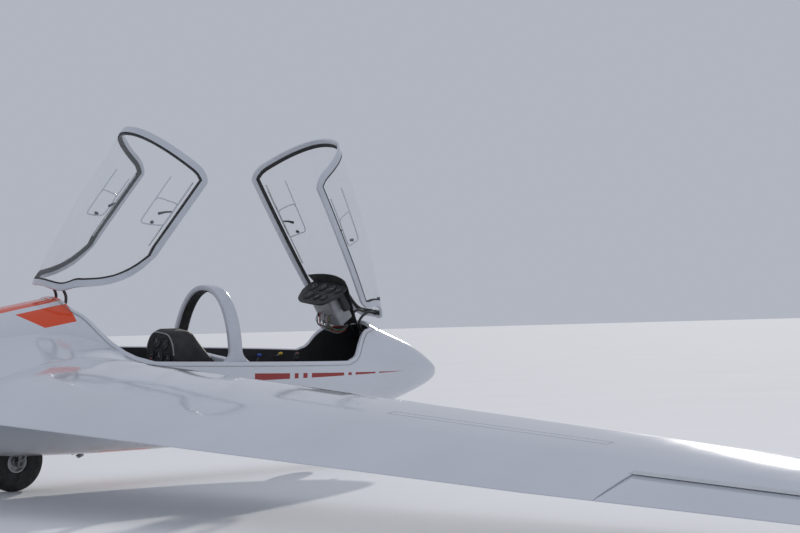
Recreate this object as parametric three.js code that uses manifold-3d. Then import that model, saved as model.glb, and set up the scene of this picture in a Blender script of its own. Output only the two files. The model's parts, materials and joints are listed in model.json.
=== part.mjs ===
// Two-seat training sailplane with a T-tail, parked with both canopies open.
// Millimetres. Airframe axes: +X to the nose, +Y to the left wing, +Z up, the main
// wheel's axle at x = 0. The last section turns the airframe to the attitude in which
// it stands on its main wheel, tail wheel and right wing tip.
import * as THREE from 'three';
import Module from 'manifold-3d';
import { mergeVertices } from 'three/addons/utils/BufferGeometryUtils.js';

const wasm = await Module();
wasm.setup();

// Driving dimensions
const SPAN = 17000;
const NOSE_X = 3228;
const TAIL_X = -4728;
const WALL = 22;                // cockpit wall, skin and liner together
const GAP = 0.3;                // between pieces that touch
const CLEAR = 5;                // around pieces that move
const AROUND = 28;              // facets around the fuselage
const UPPER_POWER = 2.2;        // superellipse power of the upper half of a section
const LOWER_POWER = 2.4;

// Wing
const WING_LE_X = 543;
const WING_LE_Z = 690;
const ROOT_CHORD = 1500;
const KINK_CHORD = 1050;
const TIP_CHORD = 500;
const KINK_Y = 4700;
const STUB_Y = 480;             // the wing root joins the fuselage's fairing here
const DIHEDRAL = 4;
const ROOT_INCIDENCE = 5.8;     // to the ground, tail down
const WASHOUT = 1.8;
const ROOT_THICKNESS = 0.196;
const TIP_THICKNESS = 0.135;
const CAMBER = 0.035;
const AILERON = { inner: 5050, outer: 8260, share: 0.215, range: 20 };
const AIRBRAKE = { inner: 3380, outer: 4680, share: 0.50, cap: 36, blade: 14, height: 118 };

// Landing gear
const MAIN = { x: 0, z: 180, r: 180, width: 125, rim: 63, axle: 16, half: 94 };
const NOSE = { x: 2300, z: 270, r: 130, width: 85, rim: 50, axle: 9, half: 54 };
const TAIL = { x: -4630, z: 100, r: 100, width: 55, rim: 42, axle: 8, half: 38 };
const WELL_TOP = { main: 430, nose: 425 };
const WELL_HALF = 102;          // of the main wheel's well

// Tail
const RUDDER = { x: -4770, z: 250, topX: -4822, topZ: 1385, range: 30 };
const FIN_TOP = 1462;
const TAILPLANE = { z: 1505, span: 3100, hinge: -4842, chord: 505, tipChord: 320, range: 25 };

// Canopies
const HOOP_X = 1330;
const FRONT_HINGE = { x: 2640, z: 850, open: 55 };
const REAR_HINGE = { x: 100, z: 1060, open: 54.5 };
const FRAME_WIDTH = 40;
const FRAME_DEPTH = 16;
const GLASS = 4;

// Materials
const paint = (color, roughness, metalness = 0) =>
  new THREE.MeshStandardMaterial({ color, roughness, metalness });
const GELCOAT = paint(0xf1f2f3, 0.18);
const LINER = paint(0xb9bbbd, 0.6);
const GLAZING = new THREE.MeshStandardMaterial({
  color: 0xdfe8ea, roughness: 0.05, transparent: true, opacity: 0.3,
});
const BLACK = paint(0x1b1b1d, 0.5);
const TYRE = paint(0x161616, 0.85);
const STEEL = paint(0x9a9da0, 0.4, 0.9);
const ALLOY = paint(0xc4c6c8, 0.35, 0.9);
const CLOTH = paint(0x3b3d42, 0.9);

// Curves

// Monotone cubic through a table: no overshoot between its rows.
function curveThrough(xs, ys) {
  const n = xs.length;
  const slopes = xs.slice(1).map((x, i) => (ys[i + 1] - ys[i]) / (x - xs[i]));
  const tangents = ys.map((_, i) => {
    if (i === 0) return slopes[0];
    if (i === n - 1) return slopes[n - 2];
    const [a, b] = [slopes[i - 1], slopes[i]];
    return a * b <= 0 ? 0 : (2 * a * b) / (a + b);
  });
  return (x) => {
    let i = 0;
    while (i < n - 2 && x > xs[i + 1]) i += 1;
    const width = xs[i + 1] - xs[i];
    const t = Math.min(Math.max((x - xs[i]) / width, 0), 1);
    const [t2, t3] = [t * t, t * t * t];
    return (2 * t3 - 3 * t2 + 1) * ys[i] + (t3 - 2 * t2 + t) * width * tangents[i]
      + (3 * t2 - 2 * t3) * ys[i + 1] + (t3 - t2) * width * tangents[i + 1];
  };
}

// Fuselage sections: x, top, bottom, half width, height of the widest point
const SECTIONS = [
  [3228, 595, 595, 0, 595],
  [3143, 684, 524, 92, 597],
  [2964, 787, 462, 160, 600],
  [2704, 890, 387, 222, 602],
  [2300, 1046, 312, 284, 604],
  [1880, 1150, 256, 330, 608],
  [1330, 1218, 218, 356, 612],
  [900, 1222, 204, 357, 612],
  [500, 1188, 204, 350, 610],
  [150, 1124, 212, 338, 606],
  [-200, 1062, 228, 318, 600],
  [-700, 936, 262, 278, 580],
  [-1200, 815, 290, 236, 548],
  [-1800, 702, 304, 194, 500],
  [-2600, 598, 292, 152, 444],
  [-3500, 528, 268, 128, 398],
  [-4200, 488, 246, 110, 367],
  [-4728, 458, 222, 52, 340],
];
// The nose is round: every column is smooth in the square root of the way back from it.
const back = (x) => Math.sqrt(Math.max(NOSE_X - x, 0));
const column = (c) => curveThrough(SECTIONS.map((s) => back(s[0])), SECTIONS.map((s) => s[c]));
const [topAt, bottomAt, halfAt, midAt] = [1, 2, 3, 4].map((c) => {
  const curve = column(c);
  return (x) => curve(back(x));
});
const STATIONS = [3226, 3205, 3150, 3050, 2920, 2760, 2600, 2440, 2280, 2100, 1900, 1700, 1500,
  1330, 1150, 970, 790, 610, 430, 250, 80, -120, -350, -600, -850, -1100, -1400, -1750, -2150,
  -2600, -3100, -3600, -4050, -4450, TAIL_X];

// Solids

function closedGeometry(positions, triangles) {
  const geometry = new THREE.BufferGeometry();
  geometry.setAttribute('position', new THREE.Float32BufferAttribute(positions, 3));
  geometry.setIndex(triangles);
  return geometry;
}

function volume(positions, triangles) {
  let sum = 0;
  for (let i = 0; i < triangles.length; i += 3) {
    const [a, b, c] = [0, 1, 2].map((k) =>
      new THREE.Vector3().fromArray(positions, 3 * triangles[i + k]));
    sum += a.dot(b.cross(c)) / 6;
  }
  return sum;
}

// A skin over rings with equal counts of points, closed by a fan at each end.
function loft(rings) {
  const count = rings[0].length;
  const positions = rings.flat(2);
  const triangles = [];
  rings.slice(1).forEach((_, r) => {
    for (let i = 0; i < count; i += 1) {
      const [a, b] = [r * count + i, r * count + ((i + 1) % count)];
      triangles.push(a, b, a + count, b, b + count, a + count);
    }
  });
  [0, rings.length - 1].forEach((r) => {
    const centre = [0, 1, 2].map((k) => rings[r].reduce((s, p) => s + p[k], 0) / count);
    const hub = positions.length / 3;
    positions.push(...centre);
    for (let i = 0; i < count; i += 1) {
      const [a, b] = [r * count + i, r * count + ((i + 1) % count)];
      triangles.push(...(r === 0 ? [hub, b, a] : [hub, a, b]));
    }
  });
  if (volume(positions, triangles) < 0) triangles.reverse();
  return solid(closedGeometry(positions, triangles));
}

function solid(geometry) {
  const bare = geometry.clone();
  ['normal', 'uv'].forEach((name) => bare.deleteAttribute(name));
  const merged = mergeVertices(bare, 1e-4);
  return new wasm.Manifold(new wasm.Mesh({
    numProp: 3,
    vertProperties: new Float32Array(merged.attributes.position.array),
    triVerts: new Uint32Array(merged.index.array),
  }));
}

const join = (...solids) => solids.reduce((a, b) => a.add(b));
const cut = (body, ...tools) => tools.reduce((a, b) => a.subtract(b), body);
const common = (...solids) => solids.reduce((a, b) => a.intersect(b));

function box([x0, x1], [y0, y1], [z0, z1]) {
  const geometry = new THREE.BoxGeometry(x1 - x0, y1 - y0, z1 - z0);
  return solid(geometry.translate((x0 + x1) / 2, (y0 + y1) / 2, (z0 + z1) / 2));
}

// A side-view outline of [x, z] points, from y0 to y1.
function sidePlate(outline, y0, y1) {
  const shape = new THREE.Shape(outline.map(([x, z]) => new THREE.Vector2(x, z)));
  const geometry = new THREE.ExtrudeGeometry(shape, { depth: y1 - y0, bevelEnabled: false });
  return solid(geometry.rotateX(Math.PI / 2).translate(0, y1, 0));
}

// A plan-view outline of [x, y] points, from z0 to z1.
function planPlate(outline, z0, z1) {
  const shape = new THREE.Shape(outline.map(([x, y]) => new THREE.Vector2(x, y)));
  const geometry = new THREE.ExtrudeGeometry(shape, { depth: z1 - z0, bevelEnabled: false });
  return solid(geometry.translate(0, 0, z0));
}

function rod(from, to, radius, facets = 12) {
  const [a, b] = [from, to].map((p) => new THREE.Vector3(...p));
  const way = b.clone().sub(a);
  const geometry = new THREE.CylinderGeometry(radius, radius, way.length(), facets);
  geometry.applyQuaternion(new THREE.Quaternion().setFromUnitVectors(
    new THREE.Vector3(0, 1, 0), way.normalize()));
  return solid(geometry.translate(...a.add(b).multiplyScalar(0.5).toArray()));
}

// A round bar along a smooth curve through points.
function bentRod(points, radius, facets = 8) {
  const section = Array.from({ length: facets }, (_, i) => {
    const angle = (2 * Math.PI * i) / facets;
    return new THREE.Vector2(radius * Math.cos(angle), radius * Math.sin(angle));
  });
  return solid(new THREE.ExtrudeGeometry(new THREE.Shape(section), {
    steps: 3 * (points.length - 1),
    extrudePath: new THREE.CatmullRomCurve3(points.map((p) => new THREE.Vector3(...p))),
  }));
}

// A solid of revolution about the Y line through (x, z), from [radius, y] points.
function turned(profile, x, z, facets) {
  const points = [...profile, profile[0]].map(([r, y]) => new THREE.Vector2(r, y));
  const geometry = new THREE.LatheGeometry(points, facets);
  geometry.deleteAttribute('normal');
  geometry.deleteAttribute('uv');
  const body = mergeVertices(geometry, 1e-4);
  const positions = Array.from(body.attributes.position.array);
  const triangles = Array.from(body.index.array);
  if (volume(positions, triangles) < 0) triangles.reverse();
  return solid(closedGeometry(positions, triangles).translate(x, 0, z));
}

const mirrored = (body) => body.mirror([0, 1, 0]);

function mesh(name, body, material) {
  const { numProp, vertProperties, triVerts } = body.getMesh();
  const geometry = new THREE.BufferGeometry();
  const positions = numProp === 3 ? vertProperties : vertProperties.filter((_, i) => i % numProp < 3);
  geometry.setAttribute('position', new THREE.BufferAttribute(new Float32Array(positions), 3));
  geometry.setIndex(new THREE.BufferAttribute(new Uint32Array(triVerts), 1));
  geometry.computeVertexNormals();
  const piece = new THREE.Mesh(geometry, material);
  piece.name = name;
  return piece;
}

// Fuselage

const bend = (value, power) => Math.sign(value) * Math.abs(value) ** (2 / power);

function section(x, inset) {
  const [top, bottom, half, mid] = [topAt(x), bottomAt(x), halfAt(x), midAt(x)];
  return Array.from({ length: AROUND }, (_, i) => {
    const angle = (2 * Math.PI * i) / AROUND;
    const power = i <= AROUND / 2 ? UPPER_POWER : LOWER_POWER;
    const height = i <= AROUND / 2 ? top - mid : mid - bottom;
    return [x, Math.max(half - inset, 1) * bend(Math.cos(angle), power),
      mid + Math.max(height - inset, 1) * bend(Math.sin(angle), power)];
  });
}

// The fuselage's outside shape, drawn in by inset, between two stations.
function hull(inset, from = NOSE_X, to = TAIL_X) {
  const inside = STATIONS.filter((x) => x < from && x > to);
  const ends = [from === NOSE_X ? [] : [from], to === TAIL_X ? [TAIL_X] : [to]];
  return loft([...ends[0], ...inside, ...ends[1]].map((x) => section(x, inset)));
}

// The cockpit's edge seen from the side: down from the rear crown, along the sill and up
// to the front crown.
const sillAt = (x) => 770 - 0.036 * (x - 1200);
const REAR_CROWN = 220;
const FRONT_CROWN = 2560;
const ABOVE = 1500;
const EDGE = [
  [REAR_CROWN, ABOVE], [REAR_CROWN, 1118], [300, 1046], [380, 958], [460, 890], [570, 828],
  [720, sillAt(720)], [2250, sillAt(2250)], [2318, 762], [2368, 842], [2440, 908],
  [FRONT_CROWN, 940], [FRONT_CROWN, ABOVE],
];

// The same edge moved inwards, up and away from the sill.
function insetEdge(distance) {
  const last = EDGE.length - 1;
  return EDGE.map(([x, z], i) => {
    const [a, b] = [EDGE[Math.max(i - 1, 0)], EDGE[Math.min(i + 1, last)]];
    const normals = [[a, [x, z]], [[x, z], b]]
      .map(([p, q]) => [-(q[1] - p[1]), q[0] - p[0]])
      .map(([nx, nz]) => [nx / (Math.hypot(nx, nz) || 1), nz / (Math.hypot(nx, nz) || 1)])
      .filter(([nx, nz]) => nx || nz);
    const sum = normals.reduce((s, v) => [s[0] + v[0], s[1] + v[1]], [0, 0]);
    const length = Math.hypot(...sum);
    const mitre = distance / (length / normals.length);
    return [x + (sum[0] / length) * mitre, z + (sum[1] / length) * mitre];
  });
}

const openingCut = (inset, half) => sidePlate(insetEdge(inset), -half, half);

const cavityOutline = [
  [2980, 200], [340, 200], [340, 500], [40, 800], [40, 1300], [2980, 1300],
];

function cavity(inset) {
  return common(hull(inset, 3100, -120), sidePlate(cavityOutline, -400, 400));
}

// Wing sections

const spanShare = (y) => Math.abs(y) / (SPAN / 2);
function chordAt(y) {
  const a = Math.abs(y);
  return a < KINK_Y
    ? ROOT_CHORD + (KINK_CHORD - ROOT_CHORD) * (a / KINK_Y)
    : KINK_CHORD + (TIP_CHORD - KINK_CHORD) * ((a - KINK_Y) / (SPAN / 2 - KINK_Y));
}
const leadingZ = (y) => WING_LE_Z + Math.abs(y) * Math.tan(THREE.MathUtils.degToRad(DIHEDRAL));
const thicknessAt = (y) =>
  ROOT_THICKNESS + (TIP_THICKNESS - ROOT_THICKNESS) * spanShare(y);

// Half thickness and mean line of the wing section, as shares of its chord.
const halfShape = (k) => (Math.sqrt(k) * (1 - k) * (1 + 0.35 * k)) / 0.433 / 2;
const meanLine = (k) => 4 * CAMBER * k * (1 - k);

// Around a section from its trailing edge over the top and back below.
function profilePoints(count) {
  const shares = Array.from({ length: count + 1 }, (_, i) =>
    (1 - Math.cos((Math.PI * i) / count)) / 2);
  return [
    ...shares.slice().reverse().map((k) => [k, 1]),
    ...shares.slice(1).map((k) => [k, -1]),
  ];
}

// One wing section: y, chord share of its shape, and an outward growth for the root fairing.
function wingPoint(y, k, side, { scale = 1, grow = 0 } = {}) {
  const full = chordAt(y);
  const chord = full * scale;
  const incidence = THREE.MathUtils.degToRad(ROOT_INCIDENCE - WASHOUT * spanShare(y));
  const along = full * (1 - scale) * 0.35 + chord * k - grow * (1 - 2 * k);
  const half = thicknessAt(y) * chord * halfShape(k) + 2.5 * k + grow * Math.sqrt(k * (1 - k)) * 2;
  const up = chord * meanLine(k) + side * Math.max(half, 0.5 * k);
  return [
    WING_LE_X - along * Math.cos(incidence) - up * Math.sin(incidence), y,
    leadingZ(y) - along * Math.sin(incidence) + up * Math.cos(incidence),
  ];
}
const wingSection = (y, options) =>
  profilePoints(13).map(([k, side]) => wingPoint(y, k, side, options));

function fuselageSolid() {
  const fairing = [
    { y: -STUB_Y, grow: 0 }, { y: -430, grow: 8 }, { y: -385, grow: 28 }, { y: -335, grow: 62 },
    { y: 335, grow: 62 }, { y: 385, grow: 28 }, { y: 430, grow: 8 }, { y: STUB_Y, grow: 0 },
  ];
  const stub = loft(fairing.map(({ y, grow }) => wingSection(y, { grow })));
  const noseBox = box([NOSE.x - 165, NOSE.x + 165], [-72, 72], [320, WELL_TOP.nose + 12]);
  const mainWell = box([-235, 235], [-WELL_HALF, WELL_HALF], [0, WELL_TOP.main]);
  const noseWell = box([NOSE.x - 150, NOSE.x + 150], [-60, 60], [100, WELL_TOP.nose]);
  const open = cut(join(hull(0), stub), cavity(WALL), openingCut(0, 372));
  const housed = common(noseBox, hull(1));
  return cut(join(open, housed, finSolid(), ...hingeEars()), mainWell, noseWell);
}

// Ears that hang below the deck in front of and behind the cockpit and hold the canopy pins.
const EAR = { half: 5, wide: 20, front: [34, 76], rear: [34, 76] };
function hingeEars() {
  const ear = (x, z, y) => {
    const post = box([x - EAR.wide, x + EAR.wide], [y - EAR.half, y + EAR.half], [z - 20, z + 140]);
    return common(post, hull(4));
  };
  const [f, r] = [FRONT_HINGE, REAR_HINGE];
  return [-1, 1].flatMap((side) => [
    join(...EAR.front.map((y) => ear(f.x, f.z, side * y)),
      rod([f.x, side * EAR.front[0], f.z], [f.x, side * EAR.front[1], f.z], 6)),
    join(...EAR.rear.map((y) => ear(r.x, r.z, side * y)),
      rod([r.x, side * EAR.rear[0], r.z], [r.x, side * EAR.rear[1], r.z], 6)),
  ]);
}

// Fin: sections at rising heights, each a symmetric aerofoil cut off at the rudder's hinge
const FIN = [
  // z, leading edge x, thickness
  [430, -3760, 150],
  [540, -3900, 118],
  [700, -3990, 104],
  [1080, -4180, 88],
  [FIN_TOP, -4375, 76],
];
const hingeLineX = (z) =>
  RUDDER.x + ((RUDDER.topX - RUDDER.x) * (z - RUDDER.z)) / (RUDDER.topZ - RUDDER.z);
const RUDDER_NOSE = 34;
function finSection([z, front, thickness]) {
  const rear = hingeLineX(z) + RUDDER_NOSE + CLEAR;
  const full = (front - rear) / 0.62;
  const shares = Array.from({ length: 9 }, (_, i) => 0.62 * (1 - Math.cos((Math.PI * i) / 16)));
  const side = (k) => (thickness / 2) * Math.min(halfShape(k) * 2, 1);
  return [
    ...shares.slice().reverse().map((k) => [front - full * k, side(k), z]),
    ...shares.slice(1).map((k) => [front - full * k, -side(k), z]),
  ];
}
// The pressure probe's socket on the fin: the flat end's x, the probe's length, its height
const PROBE = [-4196, 420, 1180];
function probeSolid() {
  const [front, length, height] = PROBE;
  return bentRod([[front + GAP, 0, height], [front + length, 0, height],
    [front + length + 30, 0, height - 22]], 4, 8);
}
function finSolid() {
  const cap = box([RUDDER.topX - 26, -4700], [-20, 20], [RUDDER.topZ + 12, FIN_TOP]);
  const heel = box([RUDDER.x - 24, -4700], [-20, 20], [RUDDER.z - 40, RUDDER.z - 12]);
  const [front, , height] = PROBE;
  const boss = rod([front - 60, 0, height], [front, 0, height], 8, 10);
  return join(loft(FIN.map(finSection)), cap, heel, boss);
}

// Wings

const WING_STATIONS = [STUB_Y + GAP, 1500, 3000, KINK_Y, 5600, 6600, 7600, 8250, 8400];
const TIP_SECTIONS = [{ y: 8460, scale: 0.9 }, { y: 8500, scale: 0.6 }];

function aileronHinge(y) {
  const [upper, lower] = [1, -1].map((side) => wingPoint(y, 1 - AILERON.share, side));
  const radius = Math.hypot(upper[0] - lower[0], upper[2] - lower[2]) / 2 - 1;
  return { at: upper.map((v, i) => (v + lower[i]) / 2), radius };
}

// The aileron's section: a round nose about the hinge and straight sides to the edge.
function aileronSection(y) {
  const { at: [hx, , hz], radius } = aileronHinge(y);
  const nose = Array.from({ length: 9 }, (_, i) => {
    const a = Math.PI / 2 - (Math.PI * i) / 8;
    return [hx + radius * Math.cos(a), y, hz + radius * Math.sin(a)];
  });
  const edge = [-1, 1].map((side) => wingPoint(y, 1, side));
  return [...nose, edge[0], edge[1]];
}

const LUG = { half: 4, notch: 10, pin: 4 };
const AILERON_LUGS = [5300, 6650, 8000];

function lugAt(y) {
  const { at, radius } = aileronHinge(y);
  const [x, , z] = at;
  const arm = box([x - 4, x + radius + 40], [y - LUG.half, y + LUG.half], [z - 5, z + 5]);
  return join(arm, rod([x, y - LUG.notch + GAP, z], [x, y + LUG.notch - GAP, z], LUG.pin, 8));
}

function wingSolid() {
  const rings = [
    ...WING_STATIONS.map((y) => wingSection(y)),
    ...TIP_SECTIONS.map(({ y, scale }) => wingSection(y, { scale })),
  ];
  const span = [AILERON.inner - CLEAR, AILERON.outer + CLEAR];
  const bay = loft(span.map((y) => {
    const { at: [hx, , hz], radius } = aileronHinge(y);
    const front = Array.from({ length: 9 }, (_, i) => {
      const a = Math.PI / 2 - (Math.PI * i) / 8;
      return [hx + (radius + CLEAR) * Math.cos(a), y, hz + (radius + CLEAR + 1) * Math.sin(a)];
    });
    return [[hx - 500, y, hz + 120], [hx, y, hz + 120], ...front,
      [hx, y, hz - 120], [hx - 500, y, hz - 120]];
  }));
  const [inner, outer] = [AIRBRAKE.inner - CLEAR, AIRBRAKE.outer + CLEAR];
  const slot = airbrakeBlock(inner, outer, AIRBRAKE.cap / 2 + CLEAR, 0, ABOVE);
  return join(cut(loft(rings), bay, slot), ...AILERON_LUGS.map(lugAt));
}

// A block along the airbrake's line, from below its upper surface by depth to above it.
const airbrakeTop = (y) => wingPoint(y, AIRBRAKE.share, 1);
function airbrakeBlock(inner, outer, half, bottom, top) {
  return loft([inner, outer].map((y) => {
    const [x, , z] = airbrakeTop(y);
    const low = z - AIRBRAKE.height - 4 - GAP + bottom;
    return [[x + half, y, low], [x + half, y, z + top], [x - half, y, z + top], [x - half, y, low]];
  }));
}
function airbrakeSolid() {
  const { inner, outer, cap, blade, height } = AIRBRAKE;
  const lid = loft([inner, outer].map((y) => {
    const [x, , z] = airbrakeTop(y);
    const lean = Math.tan(THREE.MathUtils.degToRad(ROOT_INCIDENCE + 1)) * (cap / 2);
    return [[x + cap / 2, y, z + lean], [x + cap / 2, y, z - 10], [x - cap / 2, y, z - 12],
      [x - cap / 2, y, z - lean]];
  }));
  const plate = loft([inner, outer].map((y) => {
    const [x, , z] = airbrakeTop(y);
    return [[x + blade / 2, y, z - 5], [x + blade / 2, y, z - height - 4],
      [x - blade / 2, y, z - height - 4], [x - blade / 2, y, z - 5]];
  }));
  return join(lid, plate);
}

function aileronSolid() {
  const body = loft([AILERON.inner, AILERON.outer].map((y) => aileronSection(y)));
  const notches = AILERON_LUGS.map((y) => {
    const { at: [x, , z], radius } = aileronHinge(y);
    return box([x - 12, x + radius + 10], [y - LUG.notch, y + LUG.notch], [z - 60, z + 60]);
  });
  return cut(body, ...notches);
}

function skidSolid() {
  const y = 8380;
  const [x, , z] = wingPoint(y, 0.45, -1);
  const outline = [[x + 130, z + 14], [x + 105, z - 14], [x + 60, z - 30], [x - 60, z - 30],
    [x - 115, z - 14], [x - 140, z + 14]];
  return cut(sidePlate(outline, y - 11, y + 11), grownWing());
}
const grownWing = () => loft([8300, 8400].map((y) => wingSection(y, { grow: GAP }))
  .concat([8460].map((y) => wingSection(y, { scale: 0.9, grow: GAP }))));

// Tail surfaces

const tailChord = (y) =>
  TAILPLANE.chord + ((TAILPLANE.tipChord - TAILPLANE.chord) * Math.abs(y)) / (TAILPLANE.span / 2);
const elevatorChord = (y) => tailChord(y) * 0.43;
const tailHalf = (y) => tailChord(y) * 0.072;
const TAIL_YS = [-1550, -1540, -1500, -750, 0, 750, 1500, 1540, 1550];
const tailScale = (y) => [1, 0.8, 0.35][[1500, 1540, 1550].findIndex((v) => Math.abs(y) <= v)];

function tailplaneSolid() {
  const rings = TAIL_YS.map((y) => {
    const scale = tailScale(y);
    const [length, half] = [tailChord(y) * scale, tailHalf(y) * scale];
    const rear = TAILPLANE.hinge + tailHalf(y) + CLEAR;
    const shares = Array.from({ length: 8 }, (_, i) => 1 - Math.cos((Math.PI * i) / 14));
    const side = (k) => half * Math.sqrt(1 - (1 - k) ** 2) ** 1.1;
    return [
      ...shares.slice().reverse().map((k) => [rear + length * (1 - k), y, TAILPLANE.z + side(k)]),
      ...shares.slice(1).map((k) => [rear + length * (1 - k), y, TAILPLANE.z - side(k)]),
    ];
  });
  const lugs = ELEVATOR_LUGS.map((y) => join(
    box([TAILPLANE.hinge - 4, TAILPLANE.hinge + tailHalf(y) + 30], [y - LUG.half, y + LUG.half],
      [TAILPLANE.z - 5, TAILPLANE.z + 5]),
    rod([TAILPLANE.hinge, y - LUG.notch + GAP, TAILPLANE.z],
      [TAILPLANE.hinge, y + LUG.notch - GAP, TAILPLANE.z], LUG.pin, 8)));
  const saddle = box([-4760, -4440], [-30, 30], [FIN_TOP + GAP, TAILPLANE.z]);
  return join(loft(rings), ...lugs, saddle);
}
const ELEVATOR_LUGS = [-1200, -400, 400, 1200];

function elevatorSolid() {
  const rings = TAIL_YS.slice(1, -1).map((y) => {
    const radius = tailHalf(y);
    const length = elevatorChord(y) * (Math.abs(y) > 1500 ? 0.8 : 1);
    const nose = Array.from({ length: 9 }, (_, i) => {
      const a = Math.PI / 2 - (Math.PI * i) / 8;
      return [TAILPLANE.hinge + radius * Math.cos(a), y, TAILPLANE.z + radius * Math.sin(a)];
    });
    const tail = TAILPLANE.hinge - length;
    return [...nose, [tail, y, TAILPLANE.z - 2], [tail, y, TAILPLANE.z + 2]];
  });
  const notches = ELEVATOR_LUGS.map((y) => box([TAILPLANE.hinge - 12, TAILPLANE.hinge + 60],
    [y - LUG.notch, y + LUG.notch], [TAILPLANE.z - 60, TAILPLANE.z + 60]));
  return cut(loft(rings), ...notches);
}

// Rudder: z, chord behind the hinge, nose radius
const RUDDER_SECTIONS = [
  [RUDDER.z, 262, 34], [330, 282, 34], [700, 318, 34], [1080, 314, 31], [RUDDER.topZ, 300, 28],
];
function rudderSolid() {
  return join(
    loft(RUDDER_SECTIONS.map(([z, chord, radius]) => {
      const x = hingeLineX(z);
      const nose = Array.from({ length: 9 }, (_, i) => {
        const a = Math.PI / 2 - (Math.PI * i) / 8;
        return [x + radius * Math.cos(a), radius * Math.sin(a), z];
      });
      return [...nose, [x - chord, -2, z], [x - chord, 2, z]];
    })),
    rod([hingeLineX(RUDDER.z - 12 + GAP), 0, RUDDER.z - 12 + GAP],
      [hingeLineX(RUDDER.topZ + 12 - GAP), 0, RUDDER.topZ + 12 - GAP], 6),
  );
}

// Cockpit

// The bar between the hoop's feet carries the front backrest and the rear instruments.
const CROSSBAR = { rear: 1296, front: 1364, low: 700, top: 770 };
function hoopSolid() {
  const band = box([HOOP_X - 47, HOOP_X + 47], [-400, 400], [600, 1300]);
  const arch = common(cut(hull(WALL + GAP, 1600, 1000), hull(58, 1610, 990)), band);
  const bar = box([CROSSBAR.rear, CROSSBAR.front], [-400, 400], [CROSSBAR.low, CROSSBAR.top]);
  return join(arch, common(bar, hull(WALL + GAP, 1600, 1000)));
}

// Half of the canopy's shell between the hoop and one end of the cockpit.
function canopyZone(front) {
  return front ? box([HOOP_X + 3, 3000], [-400, 400], [600, ABOVE])
    : box([0, HOOP_X - 3], [-400, 400], [600, ABOVE]);
}
function archZone(front) {
  return front ? box([HOOP_X + 3 + FRAME_WIDTH, 3000], [-400, 400], [600, ABOVE])
    : box([0, HOOP_X - 3 - FRAME_WIDTH], [-400, 400], [600, ABOVE]);
}
function canopyFrame(front) {
  const shell = cut(hull(0, 2760, 80), hull(FRAME_DEPTH, 2770, 70));
  const outer = common(shell, canopyZone(front), openingCut(CLEAR, 390));
  const window = common(openingCut(CLEAR + FRAME_WIDTH, 390), archZone(front));
  return cut(outer, window);
}
function canopyGlass(front) {
  const shell = cut(hull(4, 2760, 80), hull(4 + GLASS, 2770, 70));
  const zone = front ? box([HOOP_X + 3 + FRAME_WIDTH + GAP, 3000], [-400, 400], [600, ABOVE])
    : box([0, HOOP_X - 3 - FRAME_WIDTH - GAP], [-400, 400], [600, ABOVE]);
  return common(shell, zone, openingCut(CLEAR + FRAME_WIDTH + GAP, 390));
}

// Arms that reach from the pin around the deck's edge to the canopy frame.
const FRONT_ARM = [[2640, 850], [2600, 790], [2482, 790], [2466, 880], [2530, 944]];
const REAR_ARM = [[100, 1060], [132, 998], [198, 950], [264, 980], [288, 1060], [248, 1130]];
const ARM_RADIUS = 9;
const armBar = (route, y, radius = ARM_RADIUS) => bentRod(route.map(([x, z]) => [x, y, z]), radius);
function armSolid(route, hinge, y) {
  const bar = armBar(route, y);
  const eye = rod([hinge.x, y - 14, hinge.z], [hinge.x, y + 14, hinge.z], 15, 16);
  return cut(join(bar, eye), rod([hinge.x, y - 15, hinge.z], [hinge.x, y + 15, hinge.z], 6 + GAP));
}
function frontFrameSolid() {
  const y = (EAR.front[0] + EAR.front[1]) / 2;
  const arms = [-y, y].map((v) => armSolid(FRONT_ARM, FRONT_HINGE, v));
  return join(canopyFrame(true), ...arms.map((arm) => common(arm, hull(2, 2900, 2000))));
}
function rearFrameSolid() {
  const y = (EAR.rear[0] + EAR.rear[1]) / 2;
  const arms = [-y, y].map((v) => armSolid(REAR_ARM, REAR_HINGE, v));
  return join(canopyFrame(false), ...arms.map((arm) => common(arm, hull(2, 600, 0))));
}

// Seats: side profiles of thin pans that meet the cockpit's walls
function panSolid(line, half, thickness = 8) {
  const under = line.map(([x, z], i) => {
    const [a, b] = [line[Math.max(i - 1, 0)], line[Math.min(i + 1, line.length - 1)]];
    const length = Math.hypot(b[0] - a[0], b[1] - a[1]);
    return [x + ((b[1] - a[1]) / length) * thickness, z - ((b[0] - a[0]) / length) * thickness];
  });
  return common(sidePlate([...line, ...under.reverse()], -half, half), hull(WALL + GAP, 2980, 60));
}
const FRONT_PAN = [[1395, 760], [1450, 560], [1530, 400], [1640, 345], [1800, 352], [2030, 425]];
const REAR_PAN = [[362, 900], [440, 700], [530, 520], [640, 445], [800, 440], [1060, 500]];

function cushionSolid(line, from, to, half, thickness) {
  const base = line.slice(from, to);
  const at = (offset) => base.map(([x, z], i) => {
    const [a, b] = [base[Math.max(i - 1, 0)], base[Math.min(i + 1, base.length - 1)]];
    const length = Math.hypot(b[0] - a[0], b[1] - a[1]);
    return [x - ((b[1] - a[1]) / length) * offset, z + ((b[0] - a[0]) / length) * offset];
  });
  return sidePlate([...at(GAP + 0.5), ...at(thickness).reverse()], -half, half);
}

// A control stick from the cockpit floor: [x, z] points of its bends, the grip on the last.
function stickSolid(route) {
  const points = route.map(([x, z]) => [x, 0, z]);
  const [neck, tip] = points.slice(-2);
  const foot = rod(points[0], [points[0][0], 0, points[0][2] + 60], 34, 16);
  const parts = join(bentRod(points.slice(0, -1), 11), rod(neck, tip, 18), foot);
  return common(parts, hull(WALL + GAP, 2980, 60));
}

const FRONT_STICK = [[2085, 290], [2085, 480], [2050, 640], [2040, 750]];
const REAR_STICK = [[1118, 200], [1106, 520], [962, 640], [922, 750]];

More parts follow.
